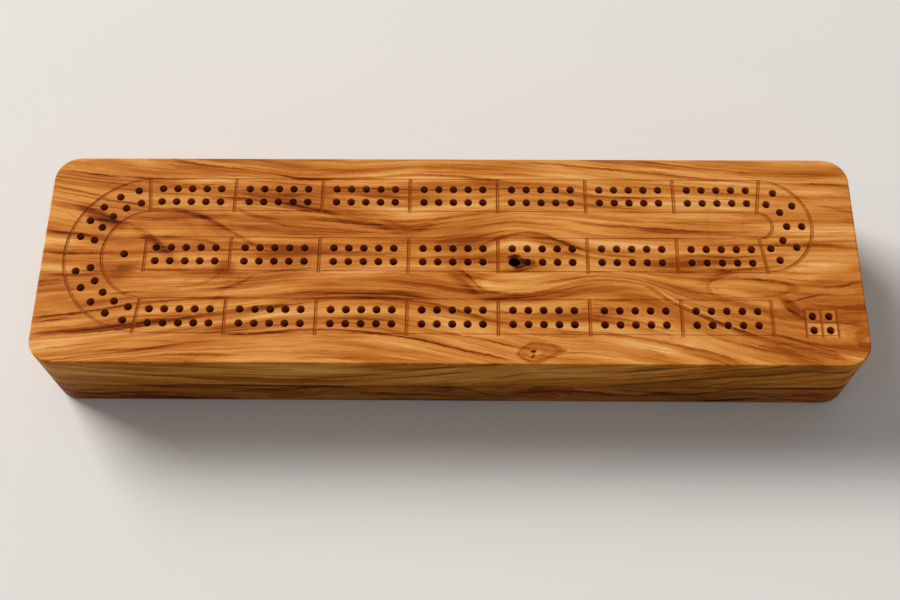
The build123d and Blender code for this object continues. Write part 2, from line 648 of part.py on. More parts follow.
def make_knob_screw():
    """The machine screw that holds the knob from inside the drawer."""
    profile = countersunk_profile(
        KNOB_SCREW_DIAMETER / 2, KNOB_SCREW_HEAD_DIAMETER / 2, KNOB_SCREW_HEAD_HEIGHT,
        DRAWER_FRONT_THICKNESS + KNOB_SCREW_BITE,
    )
    screw = turned(profile, knob_screw_place())
    return screw - screw_slot(knob_screw_place(), KNOB_SCREW_HEAD_DIAMETER / 2)


# ---------------------------------------------------------------- pegs

def make_peg(place):
    """A turned peg: bevelled shaft, collar, waist and a barrel head with a domed end."""
    shaft = PEG_SHAFT_DIAMETER / 2
    head = PEG_HEAD_DIAMETER / 2
    collar = PEG_COLLAR_DIAMETER / 2
    tip_radius = shaft - PEG_TIP_BEVEL
    waist_top = PEG_COLLAR_HEIGHT + PEG_WAIST_LENGTH
    barrel_low = waist_top + PEG_SHOULDER_HEIGHT
    barrel_top = PEG_HEAD_LENGTH - PEG_CROWN_RISE
    half_section = make_face([
        line_run(
            (0, -PEG_SHAFT_LENGTH), (tip_radius, -PEG_SHAFT_LENGTH),
            (shaft, PEG_TIP_BEVEL - PEG_SHAFT_LENGTH), (shaft, 0), (collar, 0),
            (collar, PEG_COLLAR_HEIGHT),
        ),
        cove_arc(collar, PEG_WAIST_DIAMETER / 2, PEG_COLLAR_HEIGHT, waist_top),
        line_run((collar, waist_top), (head, barrel_low), (head, barrel_top)),
        dome_arc(head, barrel_top, PEG_HEAD_LENGTH),
        line_run((0, PEG_HEAD_LENGTH), (0, -PEG_SHAFT_LENGTH)),
    ])
    return place * revolve(half_section, Axis.Z)


# ---------------------------------------------------------------- every node

def all_nodes():
    """Each physical piece under its node name."""
    nodes = {
        "top_board": make_top_board(),
        "base_board": make_base_board(),
        "stop_screw": make_stop_screw(),
        "case_magnet": make_case_magnet(),
        "drawer_front": make_drawer_front(),
        "drawer_side_rear": make_drawer_side(1),
        "drawer_side_near": make_drawer_side(-1),
        "drawer_back": make_drawer_back(),
        "drawer_bottom": make_drawer_bottom(),
        "drawer_dowels": make_drawer_dowels(),
        "drawer_magnet": make_drawer_magnet(),
        "drawer_knob": make_drawer_knob(),
        "knob_screw": make_knob_screw(),
        "card_divider": cross_panel(DIVIDER_REAR_X, DIVIDER_FACE_X),
        "peg_block": make_peg_block(),
    }
    for index, place in enumerate(peg_places()):
        metal = "brass" if index < PEGS_PER_PLAYER else "steel"
        nodes[f"peg_{metal}_{index % PEGS_PER_PLAYER + 1}"] = make_peg(place)
    return nodes


os.makedirs("parts", exist_ok=True)
for node_name, node_shape in all_nodes().items():
    export_step(node_shape, f"parts/{node_name}.step")
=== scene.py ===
"""Cribbage box with drawer: finishes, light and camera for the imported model.

The case is two olive-wood boards. Sizes inside the materials are millimetres, because a
grain figure is easier to read in them; everything placed in the scene is in metres.
"""

from math import radians

import bpy
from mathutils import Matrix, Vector


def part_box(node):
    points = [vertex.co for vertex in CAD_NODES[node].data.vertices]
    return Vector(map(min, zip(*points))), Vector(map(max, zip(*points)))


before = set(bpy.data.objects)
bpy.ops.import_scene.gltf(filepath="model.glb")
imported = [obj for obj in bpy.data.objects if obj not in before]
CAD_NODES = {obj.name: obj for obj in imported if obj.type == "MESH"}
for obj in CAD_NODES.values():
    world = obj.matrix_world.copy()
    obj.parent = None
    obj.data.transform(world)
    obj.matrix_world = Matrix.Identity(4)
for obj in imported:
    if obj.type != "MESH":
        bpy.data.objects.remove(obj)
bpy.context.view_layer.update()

# -------------------- top board
# The upper board is oiled olive wood, drilled and cut on its face. Its figure is drawn the
# way it lies in the plank: guide lines give the run of the grain, listed streaks give the
# dark growth lines, and patches and eyes give the broad tones and the knots.

CASE_TOP_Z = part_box("top_board")[1][2] * 1000
CASE_HALF_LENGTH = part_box("top_board")[1][0] * 1000
CASE_HALF_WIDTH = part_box("top_board")[1][1] * 1000
CASE_CORNER_RADIUS = 12.0
LANE_SPACING = 31.55
TRACK_CENTRE_Y = 1.25
TRACK_HALF_WIDTH = 44.0
BAND_HALF_WIDTH = 8.7
GROUP_PITCH = 41.7
GAP_LINE_X = -102.25
GAP_LINES_MIDDLE_X = 2.0
GAP_LINES_HALF_RUN = 125.0
LINE_HALF_WIDTH = 0.55
START_X = 169.3
START_Y = -32.6
START_CELL_X = 7.15
# Cut lines that close a lane: place along the board, the lane's middle and the lean.
END_LINES = (
    (-142.9, 32.8, -0.105), (-142.1, 1.25, 0.0), (-142.9, -30.3, 0.105),
    (146.3, 32.8, 0.14), (146.3, 1.25, -0.14), (147.3, -30.3, 0.0),
)
# The turns' rings: centre, radius and which side of it they lie on.
TURN_RINGS = (
    (-139.6, 1.25, 22.85, -1.0), (-139.6, 1.25, 40.25, -1.0),
    (144.6, 17.0, 7.1, 1.0), (145.7, 17.0, 24.5, 1.0),
)
# Added to a distance where a cut line ends, so that nothing past its end is scorched.
FAR_OFF = 50.0
# A float curve runs from 0 to 1 both ways; it stands for this much of the board.
CURVE_HALF_X = 200.0
CURVE_HALF_Y = 100.0


def fill(tree, value, socket):
    """Sets a socket from a plain value or links it from another socket."""
    if isinstance(value, bpy.types.NodeSocket):
        tree.links.new(value, socket)
    else:
        socket.default_value = value


def calc(tree, operation, *values):
    """One step of arithmetic."""
    node = tree.nodes.new("ShaderNodeMath")
    node.operation = operation
    for value, socket in zip(values, node.inputs):
        fill(tree, value, socket)
    return node.outputs[0]


def minus(tree, first, second):
    """The difference of two values."""
    return calc(tree, "SUBTRACT", first, second)


def add_times(tree, value, factor, base):
    """A base value plus another value times a factor."""
    return calc(tree, "MULTIPLY_ADD", value, factor, base)


def times(tree, first, *others):
    """The product of two or more values."""
    for other in others:
        first = calc(tree, "MULTIPLY", first, other)
    return first


def gap(tree, first, second):
    """How far apart two values are."""
    return calc(tree, "ABSOLUTE", minus(tree, first, second))


def hypotenuse(tree, x, y):
    """How far (x, y) lies from (0, 0)."""
    return calc(tree, "SQRT", calc(tree, "ADD", times(tree, x, x), times(tree, y, y)))


def limit(tree, value, low=0.0, high=1.0):
    """Keeps a value between two others."""
    return calc(tree, "MAXIMUM", calc(tree, "MINIMUM", value, high), low)


def remap(tree, value, from_low, from_high, to_low=0.0, to_high=1.0):
    """A change of range, smooth at both ends and flat outside."""
    node = tree.nodes.new("ShaderNodeMapRange")
    node.interpolation_type = "SMOOTHSTEP"
    node.clamp = False
    for number, socket in zip((value, from_low, from_high, to_low, to_high), node.inputs):
        fill(tree, number, socket)
    return node.outputs[0]


def point(tree, x, y, z):
    """Three numbers joined into a vector."""
    node = tree.nodes.new("ShaderNodeCombineXYZ")
    for value, socket in zip((x, y, z), node.inputs):
        fill(tree, value, socket)
    return node.outputs[0]


def stretched(tree, place, sizes):
    """A place divided by the length, width and height of one cell of the noise it is for."""
    return point(tree, *[calc(tree, "DIVIDE", *pair) for pair in zip(place, sizes)])


def parts_of(tree, vector):
    """A vector's three numbers."""
    node = tree.nodes.new("ShaderNodeSeparateXYZ")
    tree.links.new(vector, node.inputs[0])
    return node.outputs[0], node.outputs[1], node.outputs[2]


def noise(tree, vector, scale=1.0, detail=2.0, roughness=0.5, distortion=0.0):
    """A smooth random value between 0 and 1 over space."""
    node = tree.nodes.new("ShaderNodeTexNoise")
    fill(tree, vector, node.inputs["Vector"])
    fill(tree, scale, node.inputs["Scale"])
    fill(tree, detail, node.inputs["Detail"])
    fill(tree, roughness, node.inputs["Roughness"])
    fill(tree, distortion, node.inputs["Distortion"])
    return node.outputs["Fac"]


def wobble(tree, vector, scale, detail):
    """The same kind of value, but between -0.5 and 0.5."""
    return minus(tree, noise(tree, vector, scale, detail), 0.5)


def mix_color(tree, factor, first, second):
    """Two colours mixed by a factor."""
    node = tree.nodes.new("ShaderNodeMix")
    node.data_type = "RGBA"
    fill(tree, factor, node.inputs[0])
    fill(tree, first, node.inputs[6])
    fill(tree, second, node.inputs[7])
    return node.outputs[2]


def srgb(red, green, blue):
    """A colour given in screen values from 0 to 255."""
    def linear(value):
        share = value / 255
        return share / 12.92 if share <= 0.04045 else ((share + 0.055) / 1.055) ** 2.4
    return linear(red), linear(green), linear(blue), 1.0


def new_group(name, inputs, outputs, output_type="NodeSocketFloat"):
    """An empty shader node group with named sockets; its inputs are plain values."""
    tree = bpy.data.node_groups.new(name, "ShaderNodeTree")
    for label in inputs:
        tree.interface.new_socket(label, in_out="INPUT", socket_type="NodeSocketFloat")
    for label in outputs:
        tree.interface.new_socket(label, in_out="OUTPUT", socket_type=output_type)
    return (tree, tree.nodes.new("NodeGroupInput").outputs,
            tree.nodes.new("NodeGroupOutput").inputs)


def use_group(tree, group, **values):
    """Places a group and fills its inputs: half_width= fills the socket named Half Width."""
    node = tree.nodes.new("ShaderNodeGroup")
    node.node_tree = group
    for label, value in values.items():
        fill(tree, value, node.inputs[label.replace("_", " ").title()])
    return node.outputs


def hand_curve(tree, curve_place, points):
    """The height of a line drawn through given points (x, y), in millimetres."""
    node = tree.nodes.new("ShaderNodeFloatCurve")
    node.mapping.use_clip = False
    node.mapping.extend = "HORIZONTAL"
    curve = node.mapping.curves[0]
    spots = [((x + CURVE_HALF_X) / (2 * CURVE_HALF_X), (y + CURVE_HALF_Y) / (2 * CURVE_HALF_Y))
             for x, y in points]
    curve.points[0].location = spots[0]
    curve.points[1].location = spots[-1]
    for spot in spots[1:-1]:
        curve.points.new(*spot)
    node.mapping.update()
    tree.links.new(curve_place, node.inputs["Value"])
    return add_times(tree, node.outputs[0], 2 * CURVE_HALF_Y, -CURVE_HALF_Y)


def in_turn(tree, before, value):
    """Passes a value on, but only once the step before it is worked out, so a long chain of
    streaks is worked through one by one; the change in the value is too small to matter."""
    return add_times(tree, before, 1e-7, value)


def build_streak_group():
    """A growth line: crisp on one side, soft on the other, tapering to both ends."""
    tree, given, out = new_group(
        "Growth Streak",
        ("Before", "X", "Y", "Centre", "Start", "End", "Half Width", "Strength"), ("After",))
    taper_from, taper_to = -1.0, 9.0
    x = in_turn(tree, given["Before"], given["X"])
    rise = remap(tree, minus(tree, x, given["Start"]), taper_from, taper_to)
    fall = remap(tree, minus(tree, given["End"], x), taper_from, taper_to)
    taper = times(tree, rise, fall)
    away = minus(tree, given["Y"], given["Centre"])
    away = calc(tree, "DIVIDE", away, given["Half Width"])
    crisp_side = remap(tree, away, 0.35, 1.25, 1.0, 0.0)
    soft_side = remap(tree, away, -2.3, -0.1)
    body = times(tree, crisp_side, soft_side)
    streak = times(tree, body, times(tree, given["Strength"], taper))
    tree.links.new(calc(tree, "MAXIMUM", given["Before"], streak), out["After"])
    return tree


PATCH_SOCKETS = ("Centre X", "Centre Y", "Half Length", "Half Width", "Slope", "Softness",
                 "Amount")


def build_patch_group():
    """A soft oval, sloping along the board, that darkens or lightens the wood."""
    tree, given, out = new_group("Tone Patch", ("Before", "X", "Y") + PATCH_SOCKETS, ("After",))
    dx = minus(tree, in_turn(tree, given["Before"], given["X"]), given["Centre X"])
    rise = times(tree, dx, given["Slope"])
    dy = minus(tree, minus(tree, given["Y"], given["Centre Y"]), rise)
    along = calc(tree, "DIVIDE", dx, given["Half Length"])
    across = calc(tree, "DIVIDE", dy, given["Half Width"])
    reach = hypotenuse(tree, along, across)
    inner = minus(tree, 1.0, given["Softness"])
    outer = calc(tree, "ADD", 1.0, given["Softness"])
    share = remap(tree, reach, inner, outer, 1.0, 0.0)
    after = add_times(tree, share, given["Amount"], given["Before"])
    tree.links.new(after, out["After"])
    return tree


EYE_SOCKETS = ("Centre X", "Centre Y", "Left Length", "Right Length", "Half Width", "Slope",
               "Point", "Ring Width", "Ring", "Inside")


def build_eye_group():
    """A knot's outline: pointed to a chosen degree at both ends, with a growth line round it
    and a fainter one inside."""
    tree, given, out = new_group("Grain Eye", ("Before", "X", "Y") + EYE_SOCKETS, ("After",))
    outline_reach, core_reach, core_strength = 1.0, 0.56, 0.25
    dx = minus(tree, in_turn(tree, given["Before"], given["X"]), given["Centre X"])
    dy = minus(tree, minus(tree, given["Y"], given["Centre Y"]), times(tree, dx, given["Slope"]))
    left = calc(tree, "MAXIMUM", times(tree, dx, -1.0), 0.0)
    left = calc(tree, "DIVIDE", left, given["Left Length"])
    right = calc(tree, "DIVIDE", calc(tree, "MAXIMUM", dx, 0.0), given["Right Length"])
    along = calc(tree, "ADD", left, right)
    across = calc(tree, "ABSOLUTE", calc(tree, "DIVIDE", dy, given["Half Width"]))
    straight = calc(tree, "ADD", along, across)
    rounded = hypotenuse(tree, along, across)
    reach = minus(tree, straight, rounded)
    reach = add_times(tree, reach, given["Point"], rounded)
    off_ring = calc(tree, "DIVIDE", gap(tree, reach, outline_reach), given["Ring Width"])
    off_core = calc(tree, "DIVIDE", gap(tree, reach, core_reach), given["Ring Width"])
    ring = add_times(tree, remap(tree, off_core, 0.2, 1.0, 1.0, 0.0), core_strength,
                     remap(tree, off_ring, 0.2, 1.0, 1.0, 0.0))
    ring = times(tree, ring, given["Ring"])
    inside = times(tree, remap(tree, reach, 0.70, 1.10, 1.0, 0.0), given["Inside"])
    after = calc(tree, "ADD", given["Before"], calc(tree, "ADD", ring, inside))
    tree.links.new(after, out["After"])
    return tree


def line_burn(tree, off, spread, middle):
    """How much a cut line is burnt at a distance from its middle: most at its two sides."""
    sides = remap(tree, gap(tree, off, LINE_HALF_WIDTH), *spread, 1.0, 0.0)
    return calc(tree, "MAXIMUM", sides, remap(tree, off, 0.5, 0.8, middle, 0.0))


def build_cut_line_group():
    """How much a place is burnt by a cut line that crosses the grain."""
    tree, given, out = new_group("Cut Line", ("X", "Y"), ("Burn",))
    x, y = given["X"], given["Y"]
    lane = calc(tree, "SNAP", calc(tree, "ADD", y, LANE_SPACING / 2 - TRACK_CENTRE_Y),
                LANE_SPACING)
    from_lane = gap(tree, minus(tree, y, TRACK_CENTRE_Y), lane)
    in_band = remap(tree, from_lane, BAND_HALF_WIDTH + 0.4, BAND_HALF_WIDTH + 0.8, 1.0, 0.0)
    in_track = times(tree, remap(tree, calc(tree, "ABSOLUTE", y), TRACK_HALF_WIDTH,
                                 TRACK_HALF_WIDTH + 1.0, 1.0, 0.0), in_band)
    step = calc(tree, "SNAP", calc(tree, "ADD", x, GROUP_PITCH / 2 - GAP_LINE_X), GROUP_PITCH)
    off = gap(tree, minus(tree, x, GAP_LINE_X), step)
    past_run = remap(tree, gap(tree, x, GAP_LINES_MIDDLE_X), GAP_LINES_HALF_RUN,
                     GAP_LINES_HALF_RUN + 1.0, 0.0, FAR_OFF)
    off = calc(tree, "ADD", off, past_run)
    for line_x, lane_y, lean in END_LINES:
        leaning_x = add_times(tree, minus(tree, y, lane_y), lean, line_x)
        from_line = minus(tree, x, leaning_x)
        other_lane = remap(tree, gap(tree, y, lane_y), 9.0, 10.0, 0.0, FAR_OFF)
        from_line = calc(tree, "ADD", calc(tree, "ABSOLUTE", from_line), other_lane)
        off = calc(tree, "MINIMUM", off, from_line)
    burn = times(tree, in_track, line_burn(tree, off, (0.12, 0.50), 0.68))
    for ring_x, ring_y, radius, side in TURN_RINGS:
        dx = times(tree, minus(tree, x, ring_x), side)
        reach = hypotenuse(tree, dx, minus(tree, y, ring_y))
        near = line_burn(tree, gap(tree, reach, radius), (0.10, 0.42), 0.6)
        crossing = remap(tree, calc(tree, "DIVIDE", dx, reach), 0.05, 0.80, 0.2, 1.0)
        burn = calc(tree, "MAXIMUM", burn, times(tree, near, crossing))
    for cell in (-1, 0, 1):
        near = remap(tree, gap(tree, x, START_X + cell * START_CELL_X), 0.35, 0.8, 0.9, 0.0)
        in_cells = remap(tree, gap(tree, y, START_Y), 6.6, 7.4, 1.0, 0.0)
        burn = calc(tree, "MAXIMUM", burn, times(tree, near, in_cells))
    tree.links.new(burn, out["Burn"])
    return tree


def build_fibre_group():
    """The small grain between the growth lines: bands, thin streaks, fibres and pore dashes."""
    tree, given, out = new_group(
        "Olive Fibre", ("Along", "Across", "Deep", "Seed"), ("Tone", "Height"))
    along = calc(tree, "ADD", given["Along"], given["Seed"])
    place = (along, given["Across"], given["Deep"])
    bands = noise(tree, stretched(tree, place, (75.0, 5.0, 14.0)), 1.0, 3.0, 0.55, 0.25)
    streaks = noise(tree, stretched(tree, place, (42.0, 1.05, 6.0)))
    lines = noise(tree, stretched(tree, place, (60.0, 0.55, 6.0)), 1.0, 1.0)
    fibres = noise(tree, stretched(tree, place, (7.0, 0.22, 1.2)), 1.0, 2.0, 0.6)
    dashes = noise(tree, stretched(tree, place, (3.2, 0.34, 0.9)), 1.0, 1.0)
    ring_phase = add_times(tree, given["Across"], 0.33, times(tree, bands, 2.2))
    ring = calc(tree, "POWER", calc(tree, "FRACT", ring_phase), 2.5)
    tone = times(tree, minus(tree, bands, 0.51), 1.70)
    tone = add_times(tree, remap(tree, streaks, 0.50, 0.76), 0.27, tone)
    tone = add_times(tree, remap(tree, lines, 0.64, 0.76), 0.26, tone)
    tone = add_times(tree, minus(tree, fibres, 0.5), 0.32, tone)
    tone = add_times(tree, remap(tree, dashes, 0.64, 0.78), 0.22, tone)
    tone = add_times(tree, ring, 0.12, tone)
    tree.links.new(tone, out["Tone"])
    height = add_times(tree, remap(tree, dashes, 0.66, 0.78), -0.6, fibres)
    tree.links.new(height, out["Height"])
    return tree


def build_olive_colour_group():
    """Tone 0 is the palest sapwood and tone 1 the darkest growth line."""
    tree, given, out = new_group("Olive Colour", ("Tone",), ("Color",), "NodeSocketColor")
    node = tree.nodes.new("ShaderNodeValToRGB")
    node.color_ramp.interpolation = "EASE"
    stops = (
        (0.00, srgb(236, 178, 108)),
        (0.20, srgb(220, 150, 76)),
        (0.42, srgb(200, 123, 51)),
        (0.60, srgb(176, 97, 33)),
        (0.78, srgb(143, 67, 16)),
        (0.90, srgb(108, 45, 8)),
        (1.00, srgb(66, 24, 5)),
    )
    first, last = node.color_ramp.elements
    first.position, first.color = stops[0]
    last.position, last.color = stops[-1]
    for position, color in stops[1:-1]:
        node.color_ramp.elements.new(position).color = color
    tree.links.new(given["Tone"], node.inputs[0])
    tree.links.new(node.outputs[0], out["Color"])
    return tree


growth_streak = build_streak_group()
tone_patch = build_patch_group()
grain_eye = build_eye_group()
cut_line = build_cut_line_group()
olive_fibre = build_fibre_group()
olive_colour = build_olive_colour_group()

# Guide lines from the front edge to the back: the level each one stands for, then its
# heights at the stations, every 20 mm along the board.
GUIDE_STATIONS = range(-190, 191, 20)
GRAIN_GUIDES = (
    (-62, (-58, -56, -54, -52, -51.5, -51, -51, -52, -54, -57, -61, -64, -67, -70, -73, -77, -81,
     -85, -89, -93)),
    (-46, (-50, -47.5, -44.5, -42, -39.8, -38.6, -37.2, -37, -38.2, -42.3, -47, -51.5, -55, -57,
     -60, -64, -68, -72, -76, -80)),
    (-33, (-40, -38.5, -36, -33.5, -29.8, -26.2, -22.8, -20.4, -20.4, -22.8, -28.5, -33.5, -36.2,
     -36.8, -41, -45.3, -51.5, -57, -62, -66)),
    (-25, (-31.5, -29, -25.7, -23, -21.5, -20.5, -18, -16.8, -17, -18.5, -23.5, -25, -22.5, -19,
     -20, -29, -38, -44, -49, -53)),
    (-18, (-20, -18, -17.5, -17.5, -16.5, -14.5, -12.5, -12, -13, -15.5, -19.2, -19, -16.5, -13,
     -14.5, -25, -33, -38, -42, -45)),
    (-12, (-14, -13, -12.8, -12.8, -12.2, -11.2, -9.5, -8.5, -8.5, -9.3, -12, -13.5, -11.5, -8.7,
     -11.5, -18, -21, -24.5, -27, -27.5)),
    (-7, (-8, -8, -8, -8, -8, -8, -6.5, -5, -4, -3.5, -5, -8, -6.5, -5.5, -8, -10.5, -11, -11.8,
     -13.5, -11.5)),
    (1, (2.5, 1.6, 1.5, 2, 2.5, 2.5, 2, 1.5, 1.5, 1.2, 2, 8, 5.5, 1, 0, 0.5, 1, 1.5, 1, 0.5)),
    (9, (14, 11.5, 11, 11.5, 11.5, 11, 10.5, 9.5, 9, 9.5, 11.5, 14.5, 13, 9.5, 8, 8, 8, 8, 8, 8)),
    (17, (28.5, 24, 21.5, 20.5, 20, 19.5, 18, 16.5, 14.6, 15.5, 18.5, 20.8, 20, 17.8, 16.2, 15,
     13.9, 13.6, 13.7, 14)),
    (26, (37.8, 33.5, 31, 30.5, 31, 30.5, 27, 23.5, 21, 22, 24.5, 27, 27, 25.5, 24.5, 24, 23.5, 23,
     22.5, 22)),
    (36, (46.6, 44, 42.3, 41.8, 42, 41.2, 39, 37.2, 36.6, 36.3, 36.5, 37.1, 36.4, 33.6, 32.2, 32,
     31.2, 30.4, 29, 27.5)),
    (43, (60, 57, 54.5, 51.6, 48.8, 45.6, 42.1, 42.6, 43.5, 44.3, 43.3, 41.5, 39.6, 37, 35.2, 34,
     33.4, 32.5, 31.2, 30)),
    (51, (66, 63, 60, 57, 54.5, 52.5, 51.8, 51.6, 52.5, 53.2, 53, 52, 50.6, 48.6, 46.4, 44.2, 42,
     40.8, 40, 39.3)),
    (58, (74, 71, 68, 65, 62, 59, 57, 57, 57, 57.5, 57.5, 56.5, 54.8, 53.3, 51.8, 49.8, 47.6, 46.2,
     45.3, 44.8)),
)

